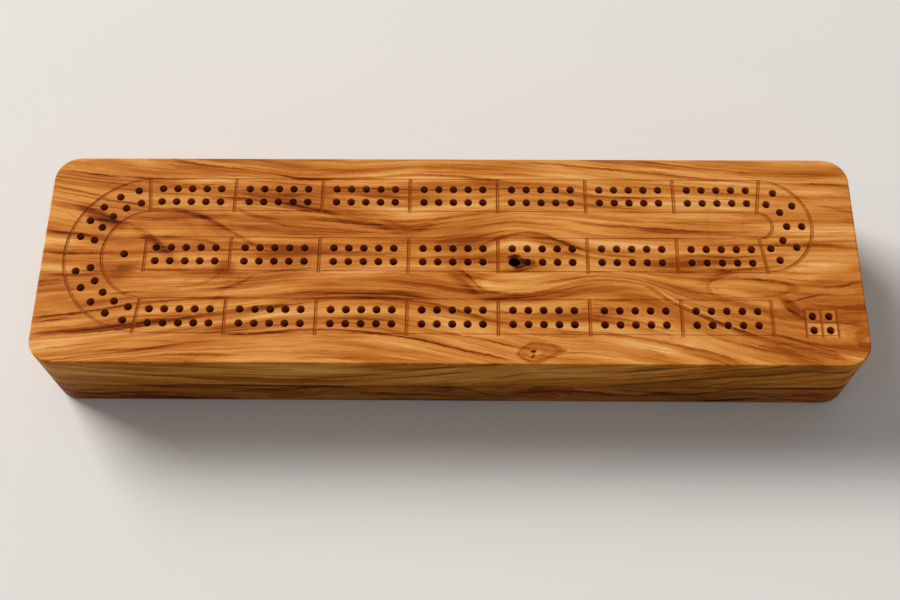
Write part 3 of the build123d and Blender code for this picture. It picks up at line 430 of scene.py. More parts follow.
# Growth lines on the playing face: half width, strength and the line's points (x, y).
TOP_STREAKS = (
    (0.5, 0.55, ((-190, 46.8), (-178, 45.3), (-168, 43.8), (-158, 42.3))),
    (0.35, 0.35, ((-190, 43.2), (-176, 41.2), (-164, 39.6), (-150, 38.4))),
    (0.6, 0.55, ((-190, 38), (-178, 35), (-170, 33), (-163, 30.8), (-150, 28.2), (-142, 26),
     (-132, 25.2))),
    (1.1, 0.52, ((-136, 25.5), (-122, 23.2), (-114, 20), (-104, 14), (-98, 10.5), (-92, 7),
     (-87, 4))),
    (2.2, 0.46, ((-192, 28.8), (-180, 26.5), (-172, 24.6), (-166, 21.8), (-158, 18.3),
     (-150, 15.6), (-145, 13), (-140, 10), (-135, 5.5), (-130, 1), (-126, -3))),
    (0.7, 0.5, ((-192, 29.2), (-180, 27.1), (-172, 25.2), (-165, 22.4), (-157, 18.8), (-149, 16.2),
     (-143, 12.6), (-139, 10.4))),
    (2.2, 0.48, ((-178, 24.6), (-170, 20.9), (-164, 18.9), (-156, 16.7), (-146, 14.4))),
    (0.4, 0.45, ((-186, 25.8), (-180, 22.5), (-175, 18.8), (-170, 15))),
    (0.6, 0.35, ((-192, 13.8), (-180, 12.8), (-172, 12), (-163, 7))),
    (0.5, 0.45, ((-192, 3.2), (-184, 2), (-176, 1.4), (-160, 2))),
    (0.8, 0.4, ((-192, -7.8), (-184, -9.2), (-172, -9.8), (-160, -9))),
    (0.35, 0.6, ((-160, -19.2), (-150, -18.8), (-138, -17.8))),
    (0.7, 0.62, ((-192, -32.2), (-180, -30.3), (-170, -29), (-160, -27.5), (-150, -25.5),
     (-140, -23.8), (-130, -22.8), (-120, -21.6), (-108, -20.8), (-97, -20.6))),
    (0.7, 0.55, ((-192, -34.6), (-184, -33.4), (-176, -31.6), (-170, -30.6))),
    (0.35, 0.45, ((-192, -36.9), (-178, -36), (-165, -34.5), (-150, -31.7), (-140, -30.4),
     (-128, -30.2), (-110, -29.8))),
    (1.05, 0.66, ((-192, -40.4), (-180, -39), (-170, -37.8), (-160, -37.2), (-152, -36),
     (-143, -35), (-135, -33.3), (-125, -32), (-115, -30.5), (-106, -29), (-98, -27.4), (-90, -26),
     (-80, -24.9), (-70, -23))),
    (0.55, 0.5, ((-188, -47.7), (-178, -46.2), (-168, -45), (-158, -43.8), (-145, -42.6),
     (-130, -42.6), (-120, -43.2))),
    (0.4, 0.4, ((-188, -50.6), (-170, -49), (-155, -47.5), (-140, -46.5), (-128, -45),
     (-118, -43.5), (-106, -42))),
    (0.6, 0.8, ((-136, 52.6), (-122, 50.4), (-110, 48.7), (-100, 47.2), (-90, 45.7), (-80, 44),
     (-72, 42.4), (-65, 42.1), (-50, 42.6), (-35, 43.2), (-20, 44.3), (-5, 44.2), (5, 43.6),
     (15, 42.5), (28, 41.5))),
    (0.6, 0.5, ((-156, 43.4), (-146, 42.2), (-136, 41.6), (-124, 41.7))),
    (0.45, 0.45, ((-126, 43.8), (-115, 43), (-105, 42), (-98, 41.3), (-88, 40.5), (-78, 39.5),
     (-64, 38.6))),
    (0.45, 0.35, ((-142, 37.5), (-130, 37), (-118, 36.8), (-103, 37))),
    (0.28, 0.6, ((-139, 33.8), (-125, 33), (-115, 32.3), (-107, 31.6), (-92, 30.9))),
    (0.8, 0.42, ((-140, 10.4), (-130, 10.2), (-118, 9.2), (-111, 7.4), (-107, 4.4), (-103.5, 0))),
    (0.8, 0.4, ((-140, -17.4), (-130, -16.6), (-120, -15), (-112, -12.6), (-107, -9.2),
     (-103.5, -4))),
    (0.7, 0.5, ((-110, -16.8), (-102, -15.2), (-96, -13), (-91, -9.6), (-88, -6))),
    (1.1, 0.5, ((-106, 27.6), (-100, 25.2), (-94, 22.6), (-86, 20.8), (-78, 19.8))),
    (0.6, 0.4, ((-92, 20), (-84, 18.4), (-76, 16.4), (-70, 14.8))),
    (1.5, 0.5, ((-84, 29.4), (-76, 28), (-68, 25.8), (-62, 24.6), (-57, 23.2), (-52, 21.3),
     (-46, 20.2), (-40, 18.8), (-34, 16.8), (-28, 15), (-22, 13.9), (-16, 14.2), (-12, 16),
     (-8, 17.6), (-2, 18.8))),
    (1.6, 0.35, ((-34, 20), (-26, 17.6), (-20, 15.8), (-14, 16.8), (-6, 19.4), (4, 21.4))),
    (0.7, 0.55, ((-86, 33.6), (-80, 33.4), (-74, 33), (-68, 33.4))),
    (0.45, 0.5, ((-104, 36.4), (-92, 36.2), (-78, 36))),
    (0.38, 0.62, ((-60, 37.2), (-45, 37), (-30, 36.6), (-20, 36.1), (-8, 36.1), (5, 36.3),
     (18, 37), (26, 36.8), (36, 37.4), (46, 37), (54, 36), (62, 34.8), (68, 33.6), (78, 32.7),
     (92, 32.4), (106, 32.2), (122, 32), (140, 31.4))),
    (1.1, 0.45, ((44, 36.4), (54, 34.8), (64, 33), (76, 32), (90, 31.4))),
    (0.3, 0.5, ((-72, 52.6), (-60, 52.1), (-46, 51.5))),
    (2.2, 0.34, ((-84, -22.4), (-72, -20.6), (-62, -18.8), (-50, -18), (-40, -18), (-30, -18.4),
     (-20, -19.6), (-10, -21.6), (-2, -23.6))),
    (0.9, 0.46, ((-76, -23.6), (-64, -21.4), (-50, -20.4), (-36, -20.2), (-24, -20.8),
     (-12, -22.2), (-4, -24), (6, -27), (16, -30.4), (24, -32.5), (34, -34.6))),
    (0.5, 0.85, ((-104, -38.4), (-92, -38.8), (-82, -38.2), (-72, -37.2), (-62, -36.9),
     (-52, -36.8), (-42, -37.3), (-32, -38.2), (-22, -39.8), (-12, -42), (-5, -43.6), (2, -45.2),
     (10, -47), (18, -48.6), (24, -50), (30, -52))),
    (0.6, 0.5, ((-70, -50.8), (-58, -50.2), (-48, -50.6), (-36, -51.6))),
    (0.3, 0.4, ((-88, -35.2), (-78, -34.7), (-70, -33.7), (-60, -33.1))),
    (0.3, 0.42, ((-57, -33.3), (-45, -33.4), (-32, -33.6))),
    (0.4, 0.5, ((-22, -27.4), (-12, -28.6), (0, -30.2), (16, -32.8))),
    (0.4, 0.5, ((-12, -36.2), (2, -38.6), (12, -40.5), (22, -42.8), (28, -44.5), (35, -46.6))),
    (0.45, 0.5, ((-12, 0.8), (4, 1.1), (12, 2), (18, 4), (23, 6.6))),
    (0.8, 0.62, ((14, 7), (22, 10), (30, 12.2), (38, 13.3), (44, 12.4), (50, 10), (56, 7.2),
     (62, 4.2), (70, 2.2), (80, 1), (94, -0.6))),
    (0.6, 0.6, ((19, -6.8), (26, -7.2), (31, -7), (36, -5.6), (42, -3.8), (47, -3))),
    (0.9, 0.52, ((0, -5), (5, -6.2), (9, -9), (11.5, -12), (14, -15), (18, -17.3), (25, -18.5),
     (33, -18.7), (41, -17.6), (48, -16), (54, -14), (60, -12.3), (68, -11.4), (76, -11.6),
     (86, -13), (96, -15.4))),
    (1.7, 0.36, ((0, -8.6), (6, -12), (12, -17), (20, -20), (34, -20.8), (46, -19.4), (54, -17.4),
     (62, -15), (72, -13.8), (84, -14.6), (96, -17.4))),
    (1.15, 0.9, ((86, -14), (92, -15.2), (97, -18), (101, -21.3), (106, -24.2), (112, -27.1),
     (118, -30.4), (124, -33.4), (130, -36), (136, -38.2), (142, -40.2), (150, -42), (158, -44),
     (168, -46.6), (182, -50.4))),
    (0.7, 0.75, ((46, -37), (54, -37.4), (62, -37.7), (70, -37.8), (76, -38.5), (84, -39.6),
     (92, -41.2), (100, -43), (108, -44.8), (115, -46.4), (121, -48.3), (127, -50.6), (133, -53))),
    (0.45, 0.5, ((62, -28.8), (74, -29.8), (80, -31), (88, -32.5), (96, -34.8), (106, -37.6))),
    (0.4, 0.45, ((48, -48.6), (56, -47.6), (64, -47.8), (72, -49), (80, -51))),
    (0.5, 0.6, ((34, 51.8), (44, 51.2), (52, 50.6), (58, 49.6), (66, 48.8), (76, 48.2), (86, 47),
     (92, 46.2), (105, 44.8), (118, 43.2), (130, 42), (140, 41.3), (150, 40.8), (160, 40.2),
     (175, 39.8), (192, 39.4))),
    (0.6, 0.6, ((88, 52.4), (102, 51), (112, 49.8), (122, 48.4), (132, 47.4), (142, 46.6),
     (152, 46.1), (162, 45.6), (176, 45.2), (192, 44.8))),
    (0.42, 0.4, ((84, 16.4), (92, 16.1), (102, 15.6), (112, 14.6), (122, 14), (132, 13.9),
     (145, 13.6), (155, 13.6), (166, 14), (176, 13.6), (192, 14.8))),
    (0.6, 0.4, ((56, 20), (64, 18.8), (72, 17.4), (80, 16.8), (92, 16.8))),
    (0.7, 0.4, ((146, 8.8), (160, 7.6), (172, 7.8), (186, 7.2))),
    (0.85, 0.38, ((86, -0.4), (96, -1.2), (104, 0), (112, 1.1), (124, 0.8), (136, 0.7), (148, 1.8),
     (162, 3))),
    (0.7, 0.5, ((118, -5.4), (128, -6.1), (138, -5.6), (150, -4.3), (160, -3.6))),
    (0.9, 0.4, ((112, -9.4), (120, -8.6), (128, -7.6), (136, -7))),
    (0.7, 0.6, ((134, -10.3), (148, -11.8), (158, -12.8), (168, -13.8), (178, -14.2), (186, -12),
     (192, -10.8))),
    (0.4, 0.6, ((151, -22.4), (158, -21.3), (163, -20), (168, -18.8), (174, -17.8))),
    (0.9, 0.55, ((151.5, -22.6), (154, -24.8), (157, -27.2), (161, -29.3), (165, -30.4))),
    (0.5, 0.4, ((158, -29.4), (168, -31.5), (178, -32.3), (192, -35))),
    (0.75, 0.42, ((142, -37.4), (152, -39.6), (160, -42), (170, -45.4), (180, -49))),
    (0.5, 0.35, ((116, -39), (128, -42), (140, -45), (150, -47.5), (162, -51.4))),
    (0.5, 0.65, ((172, 28.2), (178, 27.6), (184, 26.6), (191, 25.4))),
)

# Broad tone: centre, half length, half width, slope, softness and amount (minus is paler).
TOP_PATCHES = (
    (-166, 21.6, 11, 3.4, -0.45, 0.45, 0.3),
    (-142, 11.6, 6, 3.4, -0.75, 0.8, 0.12),
    (-108, 13, 8, 2.6, -0.85, 0.8, 0.1),
    (-170, -12, 22, 6, 0.1, 0.7, 0.12),
    (-152, -8, 6, 4, 0.3, 0.8, 0.22),
    (-153.3, -6.3, 0.9, 0.7, 0, 0.3, 0.7),
    (-120, -8.5, 17, 3.2, 0, 0.8, 0.2),
    (-104.5, -5, 4, 3.6, 0, 0.8, 0.34),
    (-132, 1, 7, 3.6, -0.7, 0.8, 0.16),
    (-76, -1, 14, 7.5, 0.05, 0.55, 0.2),
    (-45, 12, 48, 9, -0.05, 0.8, 0.1),
    (-60, 30, 34, 9, -0.05, 0.8, 0.06),
    (-12, -14, 22, 5, -0.15, 0.8, 0.16),
    (5, -10, 7, 5, -0.8, 0.7, 0.16),
    (8, 9, 13, 6, 0.2, 0.7, 0.16),
    (28, -12.8, 15.5, 4.6, 0.03, 0.45, -0.2),
    (33, 5, 12, 3, 0, 0.5, -0.2),
    (50, 7.4, 12, 3.4, -0.32, 0.35, 0.22),
    (54, -2.5, 13, 2.6, -0.06, 0.6, -0.16),
    (20, 46, 70, 6, 0, 0.7, -0.1),
    (-40, 31, 18, 5, 0, 0.7, -0.12),
    (20, 31, 22, 4, 0, 0.7, -0.1),
    (70, -44, 26, 4.6, -0.05, 0.5, -0.24),
    (106, -49.5, 12, 2.4, -0.3, 0.4, -0.3),
    (-120, 47, 30, 3, -0.08, 0.7, -0.12),
    (-120, -13, 14, 3, 0.1, 0.7, -0.12),
    (-60, -28, 30, 4, 0.06, 0.7, -0.12),
    (-140, -42, 50, 4, 0.06, 0.7, -0.1),
    (-60, -44, 40, 4.5, 0, 0.7, -0.14),
    (4, -36, 18, 3, -0.2, 0.5, -0.16),
    (170, -22.2, 19, 4.6, 0.05, 0.5, 0.13),
    (156, -23.8, 4, 2.8, -0.6, 0.5, 0.3),
    (-78, 32, 20, 8, -0.05, 0.6, 0.12),
    (39, -48, 2.8, 1.8, 0.1, 0.5, -0.14),
    (122.6, -10.2, 5, 1.4, 0.35, 0.8, 0.18),
    (125, -4, 30, 2.5, 0, 0.8, 0.16),
    (130, 6.4, 22, 2.6, 0, 0.7, 0.12),
    (150, -36, 26, 8, -0.3, 0.7, 0.12),
    (185, -38, 5, 6, 0, 0.7, 0.14),
    (175, 30, 20, 6, 0, 0.7, -0.08),
    (165, -6, 26, 4, 0, 0.6, -0.14),
    (125, 25, 75, 42, 0, 0.8, -0.09),
    (-184, 0, 14, 50, 0, 0.6, -0.11),
    (0, -47.5, 70, 7, 0, 0.7, -0.11),
)

# Knots and pale ovals: centre, length to the left and right, half width, slope, point (0
# round, 1 diamond), ring width, ring strength and tone inside.
TOP_EYES = (
    (30, -12.6, 19, 30, 6.0, 0.02, 0.2, 0.3, 0.07, -0.05),
    (38.4, -47.4, 7.2, 13, 5.0, 0.06, 0.55, 0.26, 0.28, 0.13),
    (189.5, -40.3, 5.0, 7.0, 4.6, 0.0, 0.0, 0.34, 0.13, 0.08),
    (128, -15, 9, 30, 5.2, 0.0, 0.0, 0.16, 0.17, -0.04),
    (38.5, -47.0, 0.9, 0.9, 0.5, 0.0, 0.0, 0.5, 0.2, 0.45),
    (38.3, -49.4, 0.9, 0.8, 0.45, 0.0, 0.0, 0.5, 0.2, 0.4),
)

# Scorched wood round the open knot, and the pith of the front knot, as broad tones. The
# wood is at least as dark as they are.
DARK_PATCHES = (
    (31.0, -2.2, 4.4, 3.5, 0.0, 0.4, 0.72),
    (29.6, 1.0, 4.4, 1.3, 0.1, 0.6, 0.6),
    (36.8, -2.1, 3.9, 2.3, -0.1, 0.5, 0.52),
    (39.5, -2.4, 4.0, 1.2, -0.1, 0.7, 0.36),
    (34.4, -5.0, 5.0, 1.1, 0.22, 0.6, 0.58),
    (38.5, -46.8, 1.5, 0.85, 0.2, 0.4, 0.96),
    (38.2, -49.4, 1.1, 1.0, 0.8, 0.5, 0.88),
)
OPEN_KNOT = (31.0, -2.25, 3.2, 2.7, 0.0, 0.2, 1.0)

# Growth lines on the front long face: points are (x, height below the playing face).
FRONT_STREAKS = (
    (0.8, 0.62, ((-76, -20), (-60, -17.8), (-46, -15.6), (-32, -12.4), (-18, -8), (-4, -4.6),
     (10, -2.2), (26, 0.4))),
    (0.8, 0.7, ((-34, -18.4), (-20, -16.4), (-8, -13.6), (2, -10.6), (14, -9))),
    (0.8, 0.62, ((20, -17.6), (28, -14), (34, -10.6), (42, -8.6), (56, -9.8), (70, -8), (86, -6.2),
     (100, -3), (112, -1.4), (124, 0.6))),
    (0.7, 0.6, ((44, -23.4), (54, -21.6), (66, -19.8), (80, -17.8), (92, -15.4), (104, -12.4),
     (116, -8.6), (130, -5), (144, -2), (156, 0.4))),
    (0.75, 0.72, ((70, -26), (80, -24), (92, -21.8), (104, -19), (116, -16.4), (130, -13.6),
     (144, -11.4), (154, -8.4), (162, -6), (172, -7.4), (190, -5))),
    (0.8, 0.45, ((-20, -25.2), (-4, -24.6), (12, -23.6), (22, -21.6), (32, -20.4))),
    (0.7, 0.45, ((-150, -9), (-134, -9.6), (-118, -10.6), (-104, -11.6), (-94, -13.4),
     (-86, -15.4))),
    (0.6, 0.4, ((-140, -1.2), (-124, -2.6), (-110, -4.4), (-96, -6.6), (-80, -7.6), (-66, -7.8))),
    (0.6, 0.4, ((-160, -17.4), (-144, -15.8), (-130, -15), (-114, -15.6))),
    (0.6, 0.42, ((-120, -18.4), (-104, -18.8), (-88, -18.4), (-70, -19.6), (-54, -21))),
    (0.7, 0.5, ((-190, -6), (-176, -6.6), (-164, -8.4), (-154, -10))),
    (0.8, 0.55, ((-192, -12.4), (-182, -12.6), (-174, -14.6))),
    (0.6, 0.4, ((120, -23), (134, -24), (150, -23.2), (164, -21.8), (180, -22.4))),
)

# Oiled wood: how much light it mirrors, its roughness, and how much the fibres change that.
OILED_SPECULAR = 0.03
OILED_ROUGHNESS = 0.42
FIBRE_ROUGHNESS = 0.16
# The growth layers lean this far towards the front for each millimetre of depth.
LAYER_LEAN = 0.9
RAGGED_EDGE = 0.9
TOP_TONE = 0.40
# How much darker the top board's front face is drawn: painted shade.
FRONT_FACE_PAINTED_SHADE = 0.13
START_CELLS_TONE = -0.14
TOP_TONE_RANGE = (0.03, 0.80)
STREAK_TONE = 0.52

SHADED_OLIVE = srgb(134, 112, 14)
SCORCHED_LINE = srgb(140, 60, 6)
# Painted light on the shallow walls of the cuts.
LINE_WALL_PAINTED_LIGHT = srgb(196, 92, 34)
# The colour the hole walls are drawn just below the mouth.
DARKER_MOUTH_WALL = srgb(88, 38, 14)
# Painted light deep in the holes.
PAINTED_LIGHT_HOLE_WALL = srgb(192, 108, 66)
# Painted highlight on the top edges of the holes and cuts.
PAINTED_RIM_HIGHLIGHT = srgb(236, 180, 112)
KNOT_CORE = srgb(14, 8, 5)


def board_space(tree):
    """Object coordinates in millimetres, and the surface's direction."""
    coordinates = tree.nodes.new("ShaderNodeTexCoord")
    scaled = tree.nodes.new("ShaderNodeVectorMath")
    scaled.operation = "SCALE"
    tree.links.new(coordinates.outputs["Object"], scaled.inputs[0])
    scaled.inputs["Scale"].default_value = 1000.0
    return parts_of(tree, scaled.outputs[0]), coordinates.outputs["Normal"]


def new_material(name):
    """An empty node material with its Principled BSDF; the wood and metal sections fill it."""
    material = bpy.data.materials.new(name)
    material.use_nodes = True
    tree = material.node_tree
    tree.nodes.clear()
    shader = tree.nodes.new("ShaderNodeBsdfPrincipled")
    output = tree.nodes.new("ShaderNodeOutputMaterial")
    tree.links.new(shader.outputs[0], output.inputs[0])
    return material, tree, shader


def add_relief(tree, shader, height, strength, distance=0.0001):
    """Fine relief from a value; the distance is in metres."""
    bump = tree.nodes.new("ShaderNodeBump")
    bump.inputs["Strength"].default_value = strength
    bump.inputs["Distance"].default_value = distance
    tree.links.new(height, bump.inputs["Height"])
    tree.links.new(bump.outputs[0], shader.inputs["Normal"])


def finish_olive(tree, shader, color, fibre_height, roughness=OILED_ROUGHNESS):
    """The oiled surface that every olive piece has, over its colour."""
    tree.links.new(color, shader.inputs["Base Color"])
    shader.inputs["Specular IOR Level"].default_value = OILED_SPECULAR
    tree.links.new(add_times(tree, fibre_height, FIBRE_ROUGHNESS, roughness),
                   shader.inputs["Roughness"])
    add_relief(tree, shader, fibre_height, 0.25)


def dress(material, *nodes):
    """Gives CAD nodes their material."""
    for name in nodes:
        slots = CAD_NODES[name].material_slots
        if not slots:
            CAD_NODES[name].data.materials.append(material)
        for slot in slots:
            slot.material = material


def add_streaks(tree, x, y, curve_place, streaks):
    """Draws each growth line over those before it."""
    before = 0.0
    for half_width, strength, points in streaks:
        before = use_group(
            tree, growth_streak, before=before, x=x, y=y,
            centre=hand_curve(tree, curve_place, points), start=points[0][0],
            end=points[-1][0], half_width=half_width, strength=strength)["After"]
    return before


def add_each(tree, group, labels, rows, before, x, y):
    """Uses a group once for each row of a table, each over what is there."""
    for row in rows:
        before = use_group(tree, group, before=before, x=x, y=y, **dict(zip(labels, row)))
        before = before["After"]
    return before


def edge_distance(tree, x, y):
    """How far outside the case's rounded outline a point lies; inside it is negative."""
    past = []
    for value, half_size in ((x, CASE_HALF_LENGTH), (y, CASE_HALF_WIDTH)):
        value = minus(tree, calc(tree, "ABSOLUTE", value), half_size - CASE_CORNER_RADIUS)
        past.append(calc(tree, "MAXIMUM", value, 0.0))
    return minus(tree, hypotenuse(tree, *past), CASE_CORNER_RADIUS)


def grain_level(tree, y, curve_place):
    """Turns a place on the board into its level across the grain, between the guide lines."""
    lower_level, lower_ys = GRAIN_GUIDES[0]
    lower = hand_curve(tree, curve_place, list(zip(GUIDE_STATIONS, lower_ys)))
    level = calc(tree, "MINIMUM", minus(tree, y, lower), 0.0)
    level = calc(tree, "ADD", level, lower_level)
    for upper_level, upper_ys in GRAIN_GUIDES[1:]:
        upper = hand_curve(tree, curve_place, list(zip(GUIDE_STATIONS, upper_ys)))
        share = calc(tree, "DIVIDE", minus(tree, y, lower), minus(tree, upper, lower))
        level = add_times(tree, limit(tree, share), upper_level - lower_level, level)
        lower_level, lower = upper_level, upper
    past_last = calc(tree, "MAXIMUM", minus(tree, y, lower), 0.0)
    return calc(tree, "ADD", level, past_last)


def color_cut_surfaces(tree, color, x, y, depth, place, normal, inside):
    """The cutter scorched the lines where they cross the grain. Their shallow walls are painted
    lighter, to soften their shade, and the top edges of the cuts get a painted highlight. The
    hole walls are darker just below the mouth, and painted lighter deeper down, as if lit. The
    open knot is nearly black."""
    blotchy = remap(tree, noise(tree, place, 0.55), 0.3, 0.65, 0.72, 1.0)
    scorch = times(tree, use_group(tree, cut_line, x=x, y=y)["Burn"], blotchy)
    scorch = times(tree, scorch, remap(tree, depth, 1.0, 1.4, 0.90, 0.0))
    color = mix_color(tree, times(tree, scorch, inside), color, SCORCHED_LINE)
    wall = remap(tree, calc(tree, "ABSOLUTE", parts_of(tree, normal)[2]), 0.3, 0.9, 1.0, 0.0)
    # Painted light: the shallow walls of the cut lines and hole mouths are drawn lighter, to
    # soften their shade.
    line_wall_painted_light = times(tree, wall, inside, remap(tree, depth, 0.26, 0.30, 0.6, 0.0))
    color = mix_color(tree, line_wall_painted_light, color, LINE_WALL_PAINTED_LIGHT)
    # Hole walls are drawn darker just below the mouth.
    darkening = times(tree, remap(tree, depth, 0.25, 0.5), remap(tree, depth, 0.9, 2.6, 0.6, 0.0))
    color = mix_color(tree, times(tree, wall, darkening, inside), color, DARKER_MOUTH_WALL)
    # Painted light: deeper in the holes the walls are drawn lighter, as if lit.
    in_hole_painted_light = times(tree, inside, remap(tree, depth, 1.2, 3.2))
    color = mix_color(tree, times(tree, in_hole_painted_light, 0.85), color, PAINTED_LIGHT_HOLE_WALL)
    # Painted highlight: the top edges of the holes and cut lines are drawn paler, as if catching
    # the light.
    rim_highlight = times(tree, remap(tree, depth, 0.004, 0.04), remap(tree, depth, 0.20, 0.24, 1.0, 0.0))
    color = mix_color(tree, times(tree, rim_highlight, inside, 0.2), color, PAINTED_RIM_HIGHLIGHT)
    core = add_each(tree, tone_patch, PATCH_SOCKETS, [OPEN_KNOT], 0.0, x, y)
    return mix_color(tree, times(tree, core, remap(tree, depth, 0.02, 0.5)), color, KNOT_CORE)


def make_top_board_wood():
    """The playing board's olive wood."""
    material, tree, shader = new_material("olive_top_board")
    (x, y, z), normal = board_space(tree)
    depth = minus(tree, CASE_TOP_Z, z)
    place = point(tree, x, y, z)
    sway = wobble(tree, place, 0.045, 1.0)
    ragged = wobble(tree, place, 0.35, 2.0)
    leaning_y = add_times(tree, depth, LAYER_LEAN, y)
    swaying_y = add_times(tree, sway, 1.2, leaning_y)
    wavy_y = add_times(tree, ragged, RAGGED_EDGE, swaying_y)
    curve_place = add_times(tree, x, 0.5 / CURVE_HALF_X, 0.5)
    level = grain_level(tree, wavy_y, curve_place)
    fibre = use_group(tree, olive_fibre, along=x, across=level, deep=depth, seed=0.0)

    on_front = remap(tree, y, 0.2 - CASE_HALF_WIDTH, 1.0 - CASE_HALF_WIDTH, 1.0, 0.0)
    face_streaks = add_streaks(tree, x, wavy_y, curve_place, TOP_STREAKS)
    front_height = add_times(tree, ragged, RAGGED_EDGE, times(tree, depth, -1.0))
    front_streaks = add_streaks(tree, x, front_height, curve_place, FRONT_STREAKS)
    off_front = minus(tree, 1.0, on_front)
    streaks = calc(tree, "ADD", times(tree, face_streaks, off_front),
                   times(tree, front_streaks, on_front))
    patches = add_each(tree, tone_patch, PATCH_SOCKETS, TOP_PATCHES, TOP_TONE, x, wavy_y)
    wavy_x = add_times(tree, wobble(tree, place, 0.42, 2.0), 3.2, x)
    knot_y = add_times(tree, ragged, 1.6, wavy_y)
    eyes = add_each(tree, grain_eye, EYE_SOCKETS, TOP_EYES, 0.0, wavy_x, knot_y)
    patches = add_times(tree, eyes, off_front, patches)
    from_start = calc(tree, "MAXIMUM", gap(tree, x, START_X), gap(tree, y, START_Y))
    in_start = remap(tree, from_start, 6.0, 7.6, 1.0, 0.0)
    patches = add_times(tree, in_start, START_CELLS_TONE, patches)

    # Painted shade: the top board's front face is drawn darker, as it is seen in shade.
    tone = add_times(tree, on_front, FRONT_FACE_PAINTED_SHADE, patches)
    tone = limit(tree, calc(tree, "ADD", tone, fibre["Tone"]), *TOP_TONE_RANGE)
    broken_place = point(tree, calc(tree, "DIVIDE", x, 16.0), wavy_y, 0.0)
    broken = remap(tree, noise(tree, broken_place, 0.9), 0.25, 0.62, 0.62, 1.0)
    tone = add_times(tree, times(tree, streaks, broken), STREAK_TONE, tone)
    tone = limit(tree, tone)
    dark = add_each(tree, tone_patch, PATCH_SOCKETS, DARK_PATCHES, 0.0, x, wavy_y)
    tone = calc(tree, "MAXIMUM", tone, times(tree, dark, off_front))
    color = use_group(tree, olive_colour, tone=tone)["Color"]

    # The front face is seen in shade, which turns it a little towards olive.
    inside = remap(tree, edge_distance(tree, x, y), -1.6, -1.2, 1.0, 0.0)
    faces_front = remap(tree, parts_of(tree, normal)[1], -0.7, -0.15, 0.25, 0.0)
    faces_front = times(tree, faces_front, minus(tree, 1.0, inside))
    color = mix_color(tree, faces_front, color, SHADED_OLIVE)
    color = color_cut_surfaces(tree, color, x, y, depth, place, normal, inside)
    finish_olive(tree, shader, color, fibre["Height"])
    return material


dress(make_top_board_wood(), "top_board")

# -------------------- base board
# The lower board is a darker plank of the same wood, with a wilder figure, and its colour
# is darkened further by painted shade. It is glued under the top board and holds the
# drawer's floor.

# Growth lines on its front face: points are (x, height above the floor).
BASE_FRONT_STREAKS = (
    (1.0, 0.8, ((-150, 21.6), (-134, 20.4), (-118, 21.2), (-104, 21.4), (-90, 20.8), (-74, 21),
     (-60, 19.6))),
    (0.9, 0.6, ((-110, 11.4), (-98, 13), (-88, 15.4), (-78, 15), (-68, 18.4), (-58, 20.4),
     (-46, 21))),
    (1.0, 0.55, ((-62, 16), (-50, 18.4), (-40, 16), (-32, 12), (-26, 8), (-20, 4))),
    (0.8, 0.6, ((-190, 12), (-176, 10.4), (-164, 8.4), (-150, 6), (-134, 5.6), (-120, 3))),
    (0.8, 0.55, ((-190, 5.4), (-172, 3.4), (-154, 4.4), (-138, 6.6))),
    (0.9, 0.6, ((-6, 21), (4, 19.6), (12, 15.8), (18, 10.6), (26, 8))),
    (0.9, 0.65, ((28, 14.8), (38, 13.6), (50, 15.8), (62, 14.6), (74, 11.4), (84, 8))),
    (0.9, 0.65, ((76, 17), (88, 15.8), (100, 14.2), (112, 12.2), (122, 14.2), (134, 19), (146, 20),
     (160, 20.6), (176, 20.2), (190, 21.4))),
    (0.8, 0.55, ((104, 6), (118, 5), (130, 4), (144, 8), (158, 9.6))),
    (0.7, 0.55, ((146, 12), (158, 7), (168, 3.6))),
    (0.6, 0.5, ((158, 18), (168, 16), (178, 11.6), (190, 8))),
    (0.7, 0.45, ((-40, 8), (-28, 10.4), (-14, 9.6), (-2, 8.4), (14, 8.8))),
)
# Here the growth layers lean this far towards the front for each millimetre of height.
BASE_LAYER_LEAN = 0.9
BASE_TONE = 0.50
BASE_TONE_RANGE = (0.15, 0.86)
BASE_STREAK_TONE = 0.5
# A dark brown mixed into the base board: partly its darker wood, partly painted shade.
BASE_DARK_AND_SHADE = srgb(58, 28, 0)
BASE_DARK_AND_SHADE_SHARE = 0.50


def make_base_board_wood():
    """The lower board's darker olive wood, with painted shade mixed in."""
    material, tree, shader = new_material("olive_base_board")
    (x, y, z), _ = board_space(tree)
    place = point(tree, x, y, z)
    swirl = wobble(tree, stretched(tree, (x, y, z), (34.0, 18.0, 16.0)), 1.0, 1.5)
    ragged = wobble(tree, place, 0.30, 2.0)
    level = calc(tree, "ADD", add_times(tree, z, BASE_LAYER_LEAN, y), times(tree, swirl, 26.0))
    level = add_times(tree, ragged, 0.8, level)
    fibre = use_group(tree, olive_fibre, along=x, across=level, deep=z, seed=310.0)
    height = add_times(tree, ragged, 1.6, z)
    curve_place = add_times(tree, x, 0.5 / CURVE_HALF_X, 0.5)
    front_streaks = add_streaks(tree, x, height, curve_place, BASE_FRONT_STREAKS)
    on_front = remap(tree, y, 0.3 - CASE_HALF_WIDTH, 2.4 - CASE_HALF_WIDTH, 1.0, 0.0)
    tone = add_times(tree, fibre["Tone"], 0.9, BASE_TONE)
    tone = limit(tree, tone, *BASE_TONE_RANGE)
    tone = add_times(tree, times(tree, front_streaks, on_front), BASE_STREAK_TONE, tone)
    color = use_group(tree, olive_colour, tone=limit(tree, tone))["Color"]
    # Darker wood and painted shade together: the colour is mixed towards a dark brown.
    color = mix_color(tree, BASE_DARK_AND_SHADE_SHARE, color, BASE_DARK_AND_SHADE)
    finish_olive(tree, shader, color, fibre["Height"], OILED_ROUGHNESS + 0.02)
    return material


dress(make_base_board_wood(), "base_board")

# -------------------- drawer front
# The drawer's front is cut from olive wood between the two boards in colour, with its grain
# across the box, and shows its growth lines as long level streaks.

DRAWER_FRONT_TONE = 0.36


